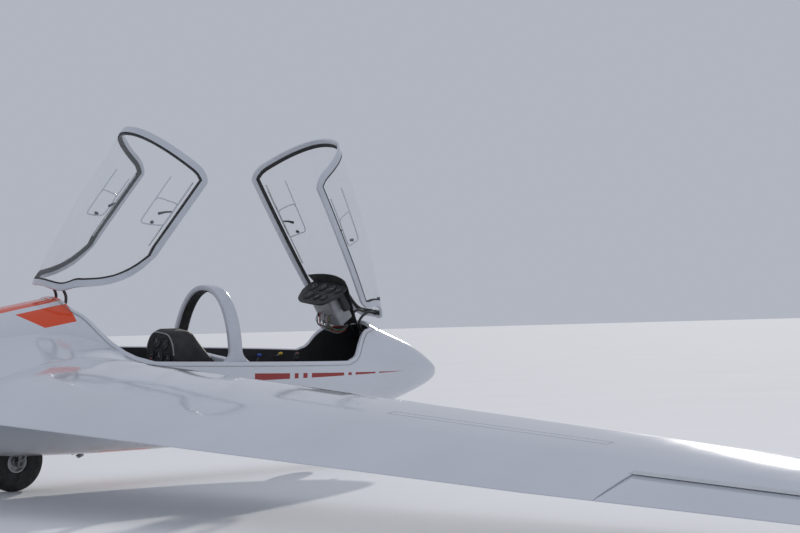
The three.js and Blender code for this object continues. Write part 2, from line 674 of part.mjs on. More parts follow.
function pedalSolid(x, z, half) {
  const bar = common(rod([x, -300, z], [x, 300, z], 9), hull(WALL + GAP, 2980, 60));
  const plates = [-1, 1].map((side) => {
    const y = side * (half - 60);
    return box([x - 6, x + 8], [y - 42, y + 42], [z - 10, z + 150]);
  });
  return join(bar, ...plates);
}

// The rear seat's instrument pod stands behind the hoop and faces aft.
function podSolid() {
  const outline = [[CROSSBAR.rear - GAP, 700], [985, 690], [1000, 925], [1150, 925],
    [CROSSBAR.rear - GAP, 760]];
  return sidePlate(outline, -150, 150);
}

// The front panel hangs from the canopy frame's arms and swings up with it.
function panelSolid() {
  const face = box([2150, 2168], [-190, 190], [545, 770]);
  const top = 781 - GAP;
  const hood = common(sidePlate([[2100, top - 16], [2100, top], [2510, top], [2510, top - 16]],
    -200, 200), planPlate([[2100, -190], [2510, -64], [2510, 64], [2100, 190]], 700, 800));
  const binnacle = box([2160, 2400], [-110, 110], [620, 775]);
  const y = (EAR.front[0] + EAR.front[1]) / 2;
  const rests = [-y, y].map((v) => armBar(FRONT_ARM, v, ARM_RADIUS + GAP));
  return cut(join(face, hood, binnacle), ...rests);
}

// Wheels

function tyreSolid({ x, z, r, width, rim }, facets) {
  const half = width / 2;
  const side = [[rim + GAP, 0.7], [rim + 8, 0.86], [(r + rim) / 2, 1], [r * 0.92, 0.77],
    [r * 0.98, 0.35]];
  const profile = [...side.map(([radius, share]) => [radius, -half * share]), [r, 0],
    ...side.reverse().map(([radius, share]) => [radius, half * share])];
  return turned(profile, x, z, facets);
}
function rimSolid({ x, z, width, rim, axle }, facets) {
  const [half, hub] = [width * 0.36, width * 0.44];
  const profile = [[axle + GAP, -hub], [axle + 14, -hub], [axle + 14, -half * 0.5],
    [rim - 12, -half * 0.5], [rim - 8, -half], [rim, -half], [rim, half], [rim - 8, half],
    [rim - 12, half * 0.5], [axle + 14, half * 0.5], [axle + 14, hub], [axle + GAP, hub]];
  return turned(profile, x, z, facets);
}

function mainGearSolid() {
  const { x, z, axle, half } = MAIN;
  const pin = rod([x, -half, z], [x, half, z], axle, 16);
  const top = WELL_TOP.main - GAP;
  const struts = [-1, 1].flatMap((side) => {
    const y = side * (half - 14);
    return [[x + 185, top + 20], [x - 60, top + 20]].map(([tx, tz]) =>
      rod([x, y, z], [tx, y, tz], 10, 10));
  });
  return common(join(pin, ...struts), box([-400, 400], [-half, half], [0, top]));
}
function noseGearSolid() {
  const { x, z, axle, half } = NOSE;
  const plates = [-1, 1].map((side) => sidePlate([[x - 16, z - 18], [x + 16, z - 18],
    [x + 34, WELL_TOP.nose - GAP], [x - 34, WELL_TOP.nose - GAP]],
  side > 0 ? half - 6 : -half, side > 0 ? half : -half + 6));
  return join(rod([x, -half, z], [x, half, z], axle, 16), ...plates);
}
function tailGearSolid() {
  const { x, z, axle, half } = TAIL;
  const plates = [-1, 1].map((side) => sidePlate([[x - 14, z - 16], [x + 14, z - 16],
    [x + 50, 205], [x + 50, 260], [x - 50, 260], [x - 50, 205]],
  side > 0 ? half - 5 : -half, side > 0 ? half : -half + 5));
  const crown = box([x - 50, x + 50], [-half, half], [208, 260]);
  return cut(join(rod([x, -half, z], [x, half, z], axle, 16), ...plates, crown), hull(-GAP));
}
function hookSolid(x, z) {
  const outline = [[x + 40, z + 60], [x + 40, z - 16], [x + 8, z - 26], [x - 2, z - 12],
    [x + 14, z - 6], [x + 10, z + 2], [x - 40, z - 4], [x - 40, z + 60]];
  return cut(sidePlate(outline, -12, 12), hull(-GAP));
}

// Assembly

const airframe = new THREE.Group();
const put = (...pieces) => airframe.add(...pieces);

// A group turned about the Y line through a hinge.
function swung(hinge, degrees, ...pieces) {
  const arm = new THREE.Group();
  arm.position.set(hinge.x, 0, hinge.z);
  arm.rotation.y = THREE.MathUtils.degToRad(degrees);
  pieces.forEach((piece) => piece.position.set(-hinge.x, 0, -hinge.z));
  arm.add(...pieces);
  return arm;
}

put(mesh('fuselage_shell', fuselageSolid(), GELCOAT));
put(mesh('roll_hoop', hoopSolid(), GELCOAT));
put(swung(FRONT_HINGE, FRONT_HINGE.open,
  mesh('front_canopy_frame', frontFrameSolid(), GELCOAT),
  mesh('front_canopy_glazing', canopyGlass(true), GLAZING),
  mesh('front_instrument_panel', panelSolid(), BLACK)));
put(swung(REAR_HINGE, -REAR_HINGE.open,
  mesh('rear_canopy_frame', rearFrameSolid(), GELCOAT),
  mesh('rear_canopy_glazing', canopyGlass(false), GLAZING)));
put(mesh('front_seat_pan', panSolid(FRONT_PAN, 340), LINER));
put(mesh('rear_seat_pan', panSolid(REAR_PAN, 340), LINER));
put(mesh('front_seat_cushion', cushionSolid(FRONT_PAN, 2, 6, 170, 40), CLOTH));
put(mesh('rear_seat_cushion', cushionSolid(REAR_PAN, 2, 6, 190, 40), CLOTH));
put(mesh('front_control_stick', stickSolid(FRONT_STICK), BLACK));
put(mesh('rear_control_stick', stickSolid(REAR_STICK), BLACK));
put(mesh('front_rudder_pedals', pedalSolid(2640, 490, 150), ALLOY));
put(mesh('rear_rudder_pedals', pedalSolid(1405, 340, 225), ALLOY));
put(mesh('rear_instrument_pod', podSolid(), BLACK));

const sides = { left: 1, right: -1 };
const handed = (name, body, material) => Object.entries(sides).forEach(([side, sign]) =>
  put(mesh(`${name}_${side}`, sign > 0 ? body : mirrored(body), material)));
handed('wing', wingSolid(), GELCOAT);
handed('aileron', aileronSolid(), GELCOAT);
handed('airbrake', airbrakeSolid(), GELCOAT);
handed('tip_skid', skidSolid(), BLACK);
put(mesh('tailplane', tailplaneSolid(), GELCOAT));
put(mesh('elevator', elevatorSolid(), GELCOAT));
put(mesh('rudder', rudderSolid(), GELCOAT));
put(mesh('fin_probe', probeSolid(), STEEL));

[['main', MAIN, 32], ['nose', NOSE, 24], ['tail', TAIL, 20]].forEach(([name, wheel, facets]) => {
  put(mesh(`${name}_tyre`, tyreSolid(wheel, facets), TYRE));
  put(mesh(`${name}_rim`, rimSolid(wheel, facets), ALLOY));
});
put(mesh('main_gear_frame', mainGearSolid(), STEEL));
put(mesh('nose_gear_fork', noseGearSolid(), STEEL));
put(mesh('tail_gear_fork', tailGearSolid(), STEEL));
put(mesh('belly_tow_hook', hookSolid(430, 196), STEEL));
put(mesh('nose_tow_hook', hookSolid(2760, 402), STEEL));

// Parked attitude: turned until the lowest points of both wheels and of the right wing's
// skid lie on one level, then set on the floor with its middle over the origin.
const CONTACTS = ['main_tyre', 'tail_tyre', 'tip_skid_right'];
function lowestPoint(name, turn) {
  const position = airframe.getObjectByName(name).geometry.attributes.position;
  const points = Array.from({ length: position.count }, (_, i) =>
    new THREE.Vector3().fromBufferAttribute(position, i));
  return points.reduce((a, b) =>
    (b.clone().applyQuaternion(turn).z < a.clone().applyQuaternion(turn).z ? b : a));
}
const turn = new THREE.Quaternion();
for (let round = 0; round < 8; round += 1) {
  const [main, tail, tip] = CONTACTS.map((name) => lowestPoint(name, turn));
  const up = tail.clone().sub(main).cross(tip.clone().sub(main)).normalize();
  turn.setFromUnitVectors(up.z < 0 ? up.negate() : up, new THREE.Vector3(0, 0, 1));
}
airframe.quaternion.copy(turn);
const extent = new THREE.Box3().setFromObject(airframe, true);
airframe.position.set(-(extent.min.x + extent.max.x) / 2, -(extent.min.y + extent.max.y) / 2,
  -extent.min.z);

const group = new THREE.Group();
group.add(airframe);
group.updateMatrixWorld(true);

export default group;
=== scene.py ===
# %% [markdown]
# # A two-seat training sailplane in Blender
# The packed model gives the exact places, joints and collision shapes. This lesson dresses it:
# each step builds one piece of the real aircraft as a fine surface and gives it its finish.
# All lengths are metres. Shapes are worked out in the airframe's own axes (x to the nose, y to
# the left wing, z up, the main wheel's contact below x = 0) and then carried to the frame. The
# pieces could be modelled by hand over the packed solids. Formulas are used instead, so that
# two pieces that touch come from one surface and stay together when a number changes.

# %% Load the frame
import math

import bmesh
import bpy
import numpy as np
from mathutils import Matrix
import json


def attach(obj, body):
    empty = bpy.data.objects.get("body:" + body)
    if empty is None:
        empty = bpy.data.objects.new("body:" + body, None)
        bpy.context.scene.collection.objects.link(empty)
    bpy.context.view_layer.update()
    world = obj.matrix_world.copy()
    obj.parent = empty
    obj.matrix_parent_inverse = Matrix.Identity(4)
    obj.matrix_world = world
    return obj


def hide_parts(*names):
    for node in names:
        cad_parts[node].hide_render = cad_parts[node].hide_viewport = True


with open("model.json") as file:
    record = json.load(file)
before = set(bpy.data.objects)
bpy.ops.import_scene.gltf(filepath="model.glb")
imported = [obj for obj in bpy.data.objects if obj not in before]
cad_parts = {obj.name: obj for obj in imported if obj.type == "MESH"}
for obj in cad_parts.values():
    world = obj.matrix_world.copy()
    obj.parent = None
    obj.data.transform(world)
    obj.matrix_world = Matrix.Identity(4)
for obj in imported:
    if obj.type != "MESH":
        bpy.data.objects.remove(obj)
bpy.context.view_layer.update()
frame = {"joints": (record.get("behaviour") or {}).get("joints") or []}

# %% [markdown]
# The aircraft stands tail down and leans on its right wing tip, so its axes are turned in the
# frame. The joints say how: the main wheel's axle points along the airframe's y, and the
# airbrakes slide along its z. Their cross product is x. An empty could carry the pieces as
# their parent, but objects have to stay unturned, so one matrix carries every point instead.

# %% The airframe's axes
joints = {joint["name"]: joint for joint in frame["joints"]}


def unit(vectors):
    """Vectors divided by their lengths."""
    return np.asarray(vectors, float) / np.linalg.norm(vectors, axis=-1, keepdims=True)


def xyz(x, y, z):
    """Points from their coordinates, each of which is a number or an array."""
    return np.stack(np.broadcast_arrays(x, y, z), axis=-1)


MAIN_WHEEL_RADIUS = 0.18
SIDEWAYS = unit(joints["main_wheel_spin"]["axis"])
UPWARDS = unit(joints["airbrake_left_slide"]["axis"])
FORWARDS = np.cross(SIDEWAYS, UPWARDS)
AXES = np.stack([FORWARDS, SIDEWAYS, UPWARDS])
ORIGIN = np.array(joints["main_wheel_spin"]["pos_m"]) - MAIN_WHEEL_RADIUS * UPWARDS
print("lean to the right:", round(math.degrees(math.asin(SIDEWAYS[2])), 2), "degrees")


def to_frame(points):
    """Airframe points times the three axes, plus the origin."""
    return np.asarray(points, float) @ AXES + ORIGIN


def swung(points, hinge, degrees):
    """Points turned about the line through hinge (x, z) along y: x' = x cos a + z sin a and
    z' = z cos a - x sin a, both measured from the hinge."""
    angle = math.radians(degrees)
    x, z = points[..., 0] - hinge[0], points[..., 2] - hinge[1]
    cos, sin = math.cos(angle), math.sin(angle)
    return xyz(hinge[0] + x * cos + z * sin, points[..., 1], hinge[1] + z * cos - x * sin)


# %% [markdown]
# The camera stands low behind the right wing. It could be set by eye, but an eye can't part
# distance from focal length. So its place, heading and focal length come from a least squares
# fit of the model's corners to the picture, with the picture 800 by 533 points.

# %% Camera
PICTURE_WIDTH = 800
FOCAL_POINTS = 2095.7
CAMERA_PLACE = np.array([-6.247, -10.753, 0.9445])
HEADING, PITCH, LEAN = (math.radians(v) for v in (40.783, 1.427, 1.516))


def make_camera():
    """Axes from heading, pitch and lean; the lens is the focal length in sensor widths."""
    ahead = np.array([math.sin(HEADING), math.cos(HEADING), 0])
    right = np.array([math.cos(HEADING), -math.sin(HEADING), 0])
    up = np.array([0, 0, 1.0])
    look = ahead * math.cos(PITCH) + up * math.sin(PITCH)
    over = up * math.cos(PITCH) - ahead * math.sin(PITCH)
    across = right * math.cos(LEAN) - over * math.sin(LEAN)
    above = over * math.cos(LEAN) + right * math.sin(LEAN)
    camera = bpy.data.objects.new("camera", bpy.data.cameras.new("camera"))
    bpy.context.scene.collection.objects.link(camera)
    turn = Matrix(np.stack([across, above, -look], axis=1).tolist()).to_4x4()
    place = CAMERA_PLACE + [ORIGIN[0], ORIGIN[1], 0]
    camera.matrix_world = Matrix.Translation(place.tolist()) @ turn
    camera.data.lens = camera.data.sensor_width * FOCAL_POINTS / PICTURE_WIDTH
    camera.data.clip_end = 200
    bpy.context.scene.camera = camera
    return camera


print("lens:", round(make_camera().data.lens, 1), "mm")

# %% [markdown]
# Materials are written as sums and products. `Field` wraps one output of a node, and each
# operator adds a Math node, so a stripe is `x.between(a, b) * z.between(c, d)`. `Finish` owns a
# material's nodes: its one `node` method takes a node's type, its settings and its inputs. The
# same nodes could be placed and linked one by one, but then the formula would be lost in them.


# %% Shader expressions
class Field:
    """One number or vector inside a material; arithmetic on it adds Math nodes."""

    def __init__(self, finish, socket):
        """The finish that owns the nodes, and the output that holds the value."""
        self.finish = finish
        self.socket = socket

    def math(self, operation, *others):
        """A Math node of this operation on the field and the others."""
        node = self.finish.node("ShaderNodeMath", {"operation": operation}, self, *others)
        return Field(self.finish, node.outputs[0])

    def __add__(self, other):
        return self.math("ADD", other)

    def __sub__(self, other):
        return self.math("SUBTRACT", other)

    def __rsub__(self, other):
        return self.math("MULTIPLY", -1.0).math("ADD", other)

    def __mul__(self, other):
        return self.math("MULTIPLY", other)

    def __truediv__(self, other):
        return self.math("DIVIDE", other)

    def __abs__(self):
        return self.math("ABSOLUTE")

    def over(self, other):
        """1 where the field is greater."""
        return self.math("GREATER_THAN", other)

    def under(self, other):
        """1 where the field is smaller."""
        return self.math("LESS_THAN", other)

    def wave(self):
        """The field's sine."""
        return self.math("SINE")

    def between(self, low, high):
        """1 where low < value < high, else 0."""
        return self.over(low) * self.under(high)

    def fade(self, low, high):
        """0 below low, 1 above high, and a smooth step in between."""
        node = self.finish.node(
            "ShaderNodeMapRange", {"interpolation_type": "SMOOTHSTEP"}, self, low, high, 0.0, 1.0
        )
        return Field(self.finish, node.outputs[0])

    __radd__, __rmul__ = __add__, __mul__


class Finish:
    """A material built from node expressions around one Principled shader."""

    def __init__(self, name):
        """An empty material with its Principled shader at hand."""
        self.material = bpy.data.materials.new(name)
        self.material.use_nodes = True
        self.nodes = self.material.node_tree.nodes
        self.shader = self.nodes["Principled BSDF"]

    def node(self, kind, settings=None, *values, **named):
        """A node of this kind: settings are its properties, the rest its inputs."""
        made = self.nodes.new(kind)
        for key, value in (settings or {}).items():
            setattr(made, key, value)
        for key, value in [*enumerate(values), *named.items()]:
            self.feed(made.inputs[key.replace("_", " ") if isinstance(key, str) else key], value)
        return made

    def feed(self, socket, value):
        """Links a field to the socket, or sets the socket's own value."""
        if isinstance(value, Field):
            self.material.node_tree.links.new(value.socket, socket)
        elif value is not None:
            socket.default_value = value

    def place(self):
        """Object coordinates, which are the frame's, as one vector."""
        return Field(self, self.node("ShaderNodeTexCoord").outputs["Object"])

    def airframe(self):
        """Object coordinates turned into the airframe's x, y and z."""
        lean = math.asin(SIDEWAYS[2])
        back = -(AXES @ ORIGIN)
        turned = self.node(
            "ShaderNodeMapping", None, self.place(), tuple(back), (-lean, 0, 0), (1, 1, 1)
        )
        parts = self.node("ShaderNodeSeparateXYZ", None, Field(self, turned.outputs[0]))
        return [Field(self, socket) for socket in parts.outputs]

    def noise(self, scale, detail=3.0):
        """Smooth noise of the object's place: scale is its waves per metre."""
        made = self.node("ShaderNodeTexNoise", None, Vector=self.place(), Scale=scale,
                         Detail=detail)
        return Field(self, made.outputs[0])

    def mix(self, share, first, second):
        """Colour first where share is 0 and second where it is 1."""
        made = self.node("ShaderNodeMix", {"data_type": "RGBA"})
        for index, value in ((0, share), (6, first), (7, second)):
            self.feed(made.inputs[index], value)
        return Field(self, made.outputs[2])

    def bump(self, height, depth):
        """A normal tilted by the slope of height times depth."""
        made = self.node("ShaderNodeBump", None, Distance=depth, Height=height)
        return Field(self, made.outputs[0])

    def wear(self, **sockets):
        """Feeds the Principled shader: Base_Color, Roughness, Metallic, Coat_Weight, Normal."""
        for name, value in sockets.items():
            self.feed(self.shader.inputs[name.replace("_", " ")], value)


def rgb(red, green, blue):
    """An opaque colour."""
    return (red, green, blue, 1.0)


print("shader expressions:", ", ".join(name for name in vars(Field) if not name.startswith("_")))

# %% [markdown]
# A sailplane is moulded in glass fibre with a white gelcoat, polished until it mirrors the sky.
# It is not perfectly even: it yellows in faint clouds, gathers dust and has fine waves from the
# mould. The stripes could be cut into the mesh or painted on an image. Here they are fields of
# the airframe's x, y and z, so they run over the skin and need neither extra edges nor an image.

# %% Gelcoat
WHITE = rgb(0.70, 0.725, 0.775)
OFF_WHITE = rgb(0.64, 0.665, 0.70)
RED = rgb(0.33, 0.018, 0.016)
ORANGE = rgb(0.80, 0.075, 0.012)
DUST = rgb(0.42, 0.39, 0.34)
# The nose stripe runs between two stations and thins out to a point; the gaps cut it up.
NOSE_STRIPE = (1.450, 2.797)
STRIPE_HEIGHT, STRIPE_FALL, STRIPE_HALF = 0.669, 0.032, 0.0222
STRIPE_BREAKS = [(1.733, 1.772), (1.804, 1.844), (1.880, 1.916), (2.203, 2.242), (2.273, 2.309),
                 (2.498, 2.534)]
# Corners of the deck patch in side view: rear tip, front top, front bottom, rear bottom.
DECK_PATCH = [(-0.112, 1.053), (0.220, 1.112), (0.233, 1.022), (0.027, 0.988)]
RIDGE_START, RIDGE_END, RIDGE_HALF, RIDGE_GROWTH = -1.5, 0.235, 0.078, 0.08
BELLY_PATCH, BELLY_TOP = (0.471, 0.835), 0.240


def gelcoat(name, stripes=False):
    """White with clouds. A stripe is a product of comparisons of x, y and z, and a patch is
    one of half planes; dust gathers low on the body."""
    coat = Finish(name)
    clouds = coat.noise(1.7, 4.0)
    colour = coat.mix(clouds.fade(0.35, 0.75) * 0.55, WHITE, OFF_WHITE)
    if stripes:
        x, y, z = coat.airframe()
        side = abs(y)
        start, end = NOSE_STRIPE
        along = (x - start) / (end - start)
        middle = STRIPE_HEIGHT - along * STRIPE_FALL
        nose = x.between(start, end) * abs(z - middle).under((1 - along) * STRIPE_HALF)
        for low, high in STRIPE_BREAKS:
            nose = nose * (1 - x.between(low, high))
        colour = coat.mix(nose * side.over(0.12), colour, RED)
        flank = 1.0
        for (x1, z1), (x2, z2) in zip(DECK_PATCH, DECK_PATCH[1:] + DECK_PATCH[:1]):
            flank = ((z - z1) * (x2 - x1) - (x - x1) * (z2 - z1)).under(0.0) * flank
        narrow = (side - (x - RIDGE_START) * RIDGE_GROWTH).under(0.0)
        ridge = x.between(RIDGE_START, RIDGE_END) * side.under(RIDGE_HALF) * narrow
        colour = coat.mix(flank.math("MAXIMUM", ridge * z.over(0.7)), colour, ORANGE)
        belly = x.between(*BELLY_PATCH) * z.under(BELLY_TOP) * side.between(0.09, 0.2)
        colour = coat.mix(belly, colour, ORANGE)
        dust = coat.noise(9.0, 5.0).fade(0.42, 0.7) * (0.42 - z).fade(0.0, 0.2) * 0.35
        colour = coat.mix(dust, colour, DUST)
    smudges = coat.noise(6.0, 6.0)
    coat.wear(Base_Color=colour, Roughness=0.07 + smudges * 0.06, Coat_Weight=0.35)
    coat.shader.inputs["Coat Roughness"].default_value = 0.04
    coat.wear(Normal=coat.bump(coat.noise(3.5, 2.0), 0.0012))
    return coat.material


skin_white = gelcoat("gelcoat_with_stripes", stripes=True)
wing_white = gelcoat("gelcoat_wing")
print("gelcoat nodes:", len(skin_white.node_tree.nodes))

# %% [markdown]
# The other finishes: a textured moulded plastic for hoods and grips, painted and bare metal,
# rubber, a near-black liner on the cockpit's walls and in the wheel wells, whose darkness is
# painted shade, and seal strips. One even tone each would do from afar. Each varies a little
# from place to place instead, because even tones look like wax.


# %% Other finishes
def mottled(name, colour, other, scale, rough, metal=0.0, grain=0.0, grain_scale=900.0, coat=0.0):
    """Two tones of one colour mixed by noise, a roughness that follows it, and a fine grain."""
    made = Finish(name)
    clouds = made.noise(scale, 5.0).fade(0.3, 0.72)
    made.wear(
        Base_Color=made.mix(clouds, rgb(*colour), rgb(*other)),
        Roughness=rough + (clouds - 0.5) * 0.12,
        Metallic=metal,
        Coat_Weight=coat,
    )
    if grain:
        made.wear(Normal=made.bump(made.noise(grain_scale, 2.0), grain))
    return made.material


black_plastic = mottled("black_moulded_plastic", (0.018, 0.018, 0.02), (0.035, 0.035, 0.037), 14,
                        0.5, grain=0.0004, grain_scale=700)
hood_black = mottled("hood_leathercloth", (0.02, 0.02, 0.021), (0.045, 0.044, 0.043), 20, 0.68,
                     grain=0.0007, grain_scale=420)
# The liner's near-black tone is painted shade for the deep cockpit and the wheel wells.
liner_painted_shade = mottled("cockpit_liner_painted_shade", (0.050, 0.051, 0.054), (0.034, 0.035, 0.037), 9, 0.72,
                     grain=0.0005, grain_scale=260)
pan_grey = mottled("seat_pan", (0.26, 0.26, 0.26), (0.20, 0.20, 0.20), 7, 0.45, grain=0.0003,
                   grain_scale=300)
steel = mottled("gear_steel", (0.33, 0.34, 0.35), (0.20, 0.20, 0.20), 30, 0.42, metal=0.85,
                grain=0.0002, grain_scale=500)
painted_grey = mottled("grey_enamel", (0.36, 0.37, 0.38), (0.28, 0.29, 0.30), 18, 0.35, coat=0.2)
painted_black = mottled("black_enamel", (0.020, 0.021, 0.023), (0.035, 0.036, 0.038), 18, 0.35,
                        coat=0.2)
alloy = mottled("wheel_alloy", (0.62, 0.63, 0.64), (0.45, 0.45, 0.46), 40, 0.38, metal=0.9)
rubber = mottled("tyre_rubber", (0.022, 0.022, 0.023), (0.055, 0.053, 0.05), 26, 0.8, grain=0.0005,
                 grain_scale=520)
seal_black = mottled("seal_rubber", (0.02, 0.02, 0.02), (0.04, 0.04, 0.04), 40, 0.7)
seal_pale = mottled("seal_tape", (0.66, 0.68, 0.70), (0.58, 0.60, 0.62), 22, 0.3)
frame_white = mottled("canopy_frame_white", (0.62, 0.645, 0.70), (0.56, 0.58, 0.63), 5, 0.24,
                      coat=0.3)
red_knob, blue_knob, green_knob, yellow_knob = (
    mottled(f"{name}_knob", colour, other, 60, 0.35)
    for name, colour, other in (("red", (0.50, 0.02, 0.015), (0.40, 0.02, 0.015)),
                                ("blue", (0.02, 0.08, 0.42), (0.02, 0.06, 0.32)),
                                ("green", (0.03, 0.30, 0.06), (0.02, 0.22, 0.05)),
                                ("yellow", (0.72, 0.48, 0.02), (0.60, 0.40, 0.02)))
)
dial_white = mottled("dial_white", (0.42, 0.42, 0.41), (0.36, 0.36, 0.35), 60, 0.5)


def weave(name, colour, other, size):
    """Cloth: two crossed sine waves of the object's place give threads and their bump."""
    made = Finish(name)
    parts = made.node("ShaderNodeSeparateXYZ", None, made.place())
    x, y, z = (Field(made, socket) for socket in parts.outputs)
    step = 2 * math.pi / size
    threads = ((x + z) * step).wave() * (y * step).wave()
    tone = threads * 0.25 + made.noise(12.0, 5.0) * 0.9
    made.wear(
        Base_Color=made.mix(tone.fade(0.1, 0.9), rgb(*colour), rgb(*other)),
        Roughness=0.86,
        Normal=made.bump(threads + made.noise(300.0), 0.0006),
    )
    made.shader.inputs["Sheen Weight"].default_value = 0.25
    return made.material


seat_cloth = weave("seat_cloth", (0.030, 0.034, 0.045), (0.075, 0.08, 0.095), 0.004)
webbing = weave("harness_webbing", (0.05, 0.06, 0.11), (0.10, 0.12, 0.20), 0.003)


def clear_glazing():
    """Acrylic: nearly all light passes, and the edges and reflections show it."""
    made = Finish("canopy_acrylic")
    haze = made.noise(2.5, 5.0).fade(0.4, 0.8)
    made.wear(Base_Color=rgb(0.80, 0.86, 0.88), Roughness=0.02 + haze * 0.05,
              Alpha=0.06 + haze * 0.04)
    made.shader.inputs["Specular IOR Level"].default_value = 0.7
    return made.material


acrylic = clear_glazing()
print("finishes:", len(bpy.data.materials))

# %% [markdown]
# A form is an array of points with its faces. Most are grids: a function of two parameters gives
# points in rows, and neighbouring rows make four-sided faces. `shell` thickens a grid, or a
# grid with some cells left out, into a closed wall. Booleans could cut the openings, but they
# leave ragged edges in a smooth skin. Nothing here loops over single points.


# %% Forms
def faces_of(rows, columns, wrap=False):
    """Corner numbers of every cell of a grid; wrap joins the last column to the first."""
    row = np.arange(rows - 1)[:, None]
    column = np.arange(columns if wrap else columns - 1)[None, :]
    beside = (column + 1) % columns
    corners = [row * columns + column, row * columns + beside,
               (row + 1) * columns + beside, (row + 1) * columns + column]
    return np.stack(np.broadcast_arrays(*corners), axis=-1).reshape(-1, 4)


def sheet_normals(grid):
    """Cross product of the two grid directions at each point, made one long."""
    down, across = np.gradient(grid, axis=0), np.gradient(grid, axis=1)
    normal = np.cross(down, across)
    return normal / np.maximum(np.linalg.norm(normal, axis=-1, keepdims=True), 1e-12)


def shell(grid, thickness, keep=None, offset=0.0, normals=None):
    """The kept cells at the grid plus offset, the same at offset minus thickness, and side
    faces along every edge that only one kept cell has."""
    rows, columns = grid.shape[:2]
    cells = faces_of(rows, columns)
    if keep is not None:
        cells = cells[keep.reshape(-1)]
    normal = sheet_normals(grid) if normals is None else normals
    outer = (grid + normal * offset).reshape(-1, 3)
    inner = (grid + normal * (offset - thickness)).reshape(-1, 3)
    count = len(outer)
    edges = np.concatenate([cells[:, [k, (k + 1) % 4]] for k in range(4)])
    key = np.sort(edges, axis=1) @ [count, 1]
    _, index, times = np.unique(key, return_index=True, return_counts=True)
    rim = edges[index[times == 1]]
    sides = np.stack([rim[:, 1], rim[:, 0], rim[:, 0] + count, rim[:, 1] + count], axis=1)
    return np.concatenate([outer, inner]), [cells, cells[:, ::-1] + count, sides]


def capped(grid):
    """A tube: rows of closed rings, with one many-sided face at each end."""
    rows, columns = grid.shape[:2]
    last = (rows - 1) * columns + np.arange(columns)
    return grid.reshape(-1, 3), [faces_of(rows, columns, wrap=True), np.arange(columns)[None, ::-1],
                                 last[None, :]]


def ring_form(grid):
    """A closed surface: the rows wrap round as the columns do."""
    closed = np.concatenate([grid, grid[:1]])
    return closed.reshape(-1, 3), [faces_of(*closed.shape[:2], wrap=True)]


def merged(*forms):
    """Several forms as one: each one's face corners move up by the points before it."""
    points, faces, first = [], [], 0
    for places, groups in forms:
        points.append(places)
        faces += [group + first for group in groups]
        first += len(places)
    return np.concatenate(points), faces


def mirrored(form):
    """The same form on the other side: y changes sign."""
    points, faces = form
    return points * [1, -1, 1], [group[:, ::-1] for group in faces]


def both_sides(form):
    """The form and its mirror image as one."""
    return merged(form, mirrored(form))


def add(name, form, finish, body="airframe", slot=None, stands_for=(), crease=35, place=None):
    """Puts a form into the scene: points to the frame, doubles merged, faces turned outwards."""
    points, groups = form
    points = to_frame(points if place is None else place(points))
    mesh = bpy.data.meshes.new(name)
    mesh.from_pydata(points, [], [face for group in groups for face in group.tolist()])
    work = bmesh.new()
    work.from_mesh(mesh)
    bmesh.ops.remove_doubles(work, verts=work.verts, dist=1e-5)
    bmesh.ops.dissolve_degenerate(work, dist=1e-6, edges=work.edges)
    bmesh.ops.recalc_face_normals(work, faces=work.faces)
    work.to_mesh(mesh)
    work.free()
    mesh.shade_smooth()
    mesh.set_sharp_from_angle(angle=math.radians(crease))
    mesh.materials.append(finish)
    piece = bpy.data.objects.new(name, mesh)
    bpy.context.scene.collection.objects.link(piece)
    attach(piece, body)
    if stands_for:
        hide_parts(*stands_for)
    return piece


print("faces of a grid of 3 by 4 points:", len(faces_of(3, 4)))


# %% Curves and bars
def smooth_line(knots, count):
    """A Catmull-Rom curve through the knots, sampled evenly: on each stretch the cubic whose
    slopes are half the chord between the neighbours."""
    p = np.asarray(knots, float)
    p = np.concatenate([[2 * p[0] - p[1]], p, [2 * p[-1] - p[-2]]])
    t = np.linspace(0, len(knots) - 1, 24 * (len(knots) - 1) + 1)
    i = np.minimum(t.astype(int), len(knots) - 2)
    u = (t - i)[:, None]
    a, b, c, d = p[i], p[i + 1], p[i + 2], p[i + 3]
    line = b + 0.5 * u * (c - a + u * (2 * a - 5 * b + 4 * c - d + u * (3 * (b - c) + d - a)))
    return resampled(line, count)


def resampled(line, count):
    """The same line with points evenly spaced along its length."""
    reach = np.concatenate([[0], np.cumsum(np.linalg.norm(np.diff(line, axis=0), axis=1))])
    at = np.linspace(0, reach[-1], count)
    return np.stack([np.interp(at, reach, column) for column in line.T], axis=1)


def frames_along(path):
    """Tangents, and two directions square to them that turn as little as they can."""
    tangent = unit(np.gradient(path, axis=0))
    first = np.cross(tangent[0], [0, 1, 0] if abs(tangent[0][1]) < 0.9 else [1, 0, 0])
    sides = [unit(first)]
    for direction in tangent[1:]:
        sides.append(unit(sides[-1] - direction * (sides[-1] @ direction)))
    side = np.array(sides)
    return tangent, side, np.cross(tangent, side)


def full_turn(count):
    """Angles evenly spaced round a circle."""
    return np.linspace(0, 2 * math.pi, count, endpoint=False)


def circles(path, radius, around):
    """Circles of the radius, or radii, square to the path."""
    path = np.asarray(path, float)
    _, side, over = frames_along(path)
    turn = full_turn(around)[None, :, None]
    radius = np.broadcast_to(radius, len(path))[:, None, None]
    return path[:, None] + radius * (np.cos(turn) * side[:, None] + np.sin(turn) * over[:, None])


def bar(path, radius, around=16):
    """A round bar with flat ends."""
    return capped(circles(path, radius, around))


def cross_bar(x, z, low, high, radius, around=16):
    """A round bar along y between two widths."""
    return bar([(x, low, z), (x, high, z)], radius, around)


def closed_tube(loop, radius, around=8):
    """A round tube along a closed loop."""
    return ring_form(circles(loop, radius, around))


def signed_power(value, power):
    """The value's size raised to the power, with its sign kept."""
    return np.sign(value) * np.abs(value) ** power


def rounded_share(turn, power):
    """Cosine and sine of the turn, each raised to the power with its sign kept."""
    return signed_power(np.stack([np.cos(turn), np.sin(turn)]), power)


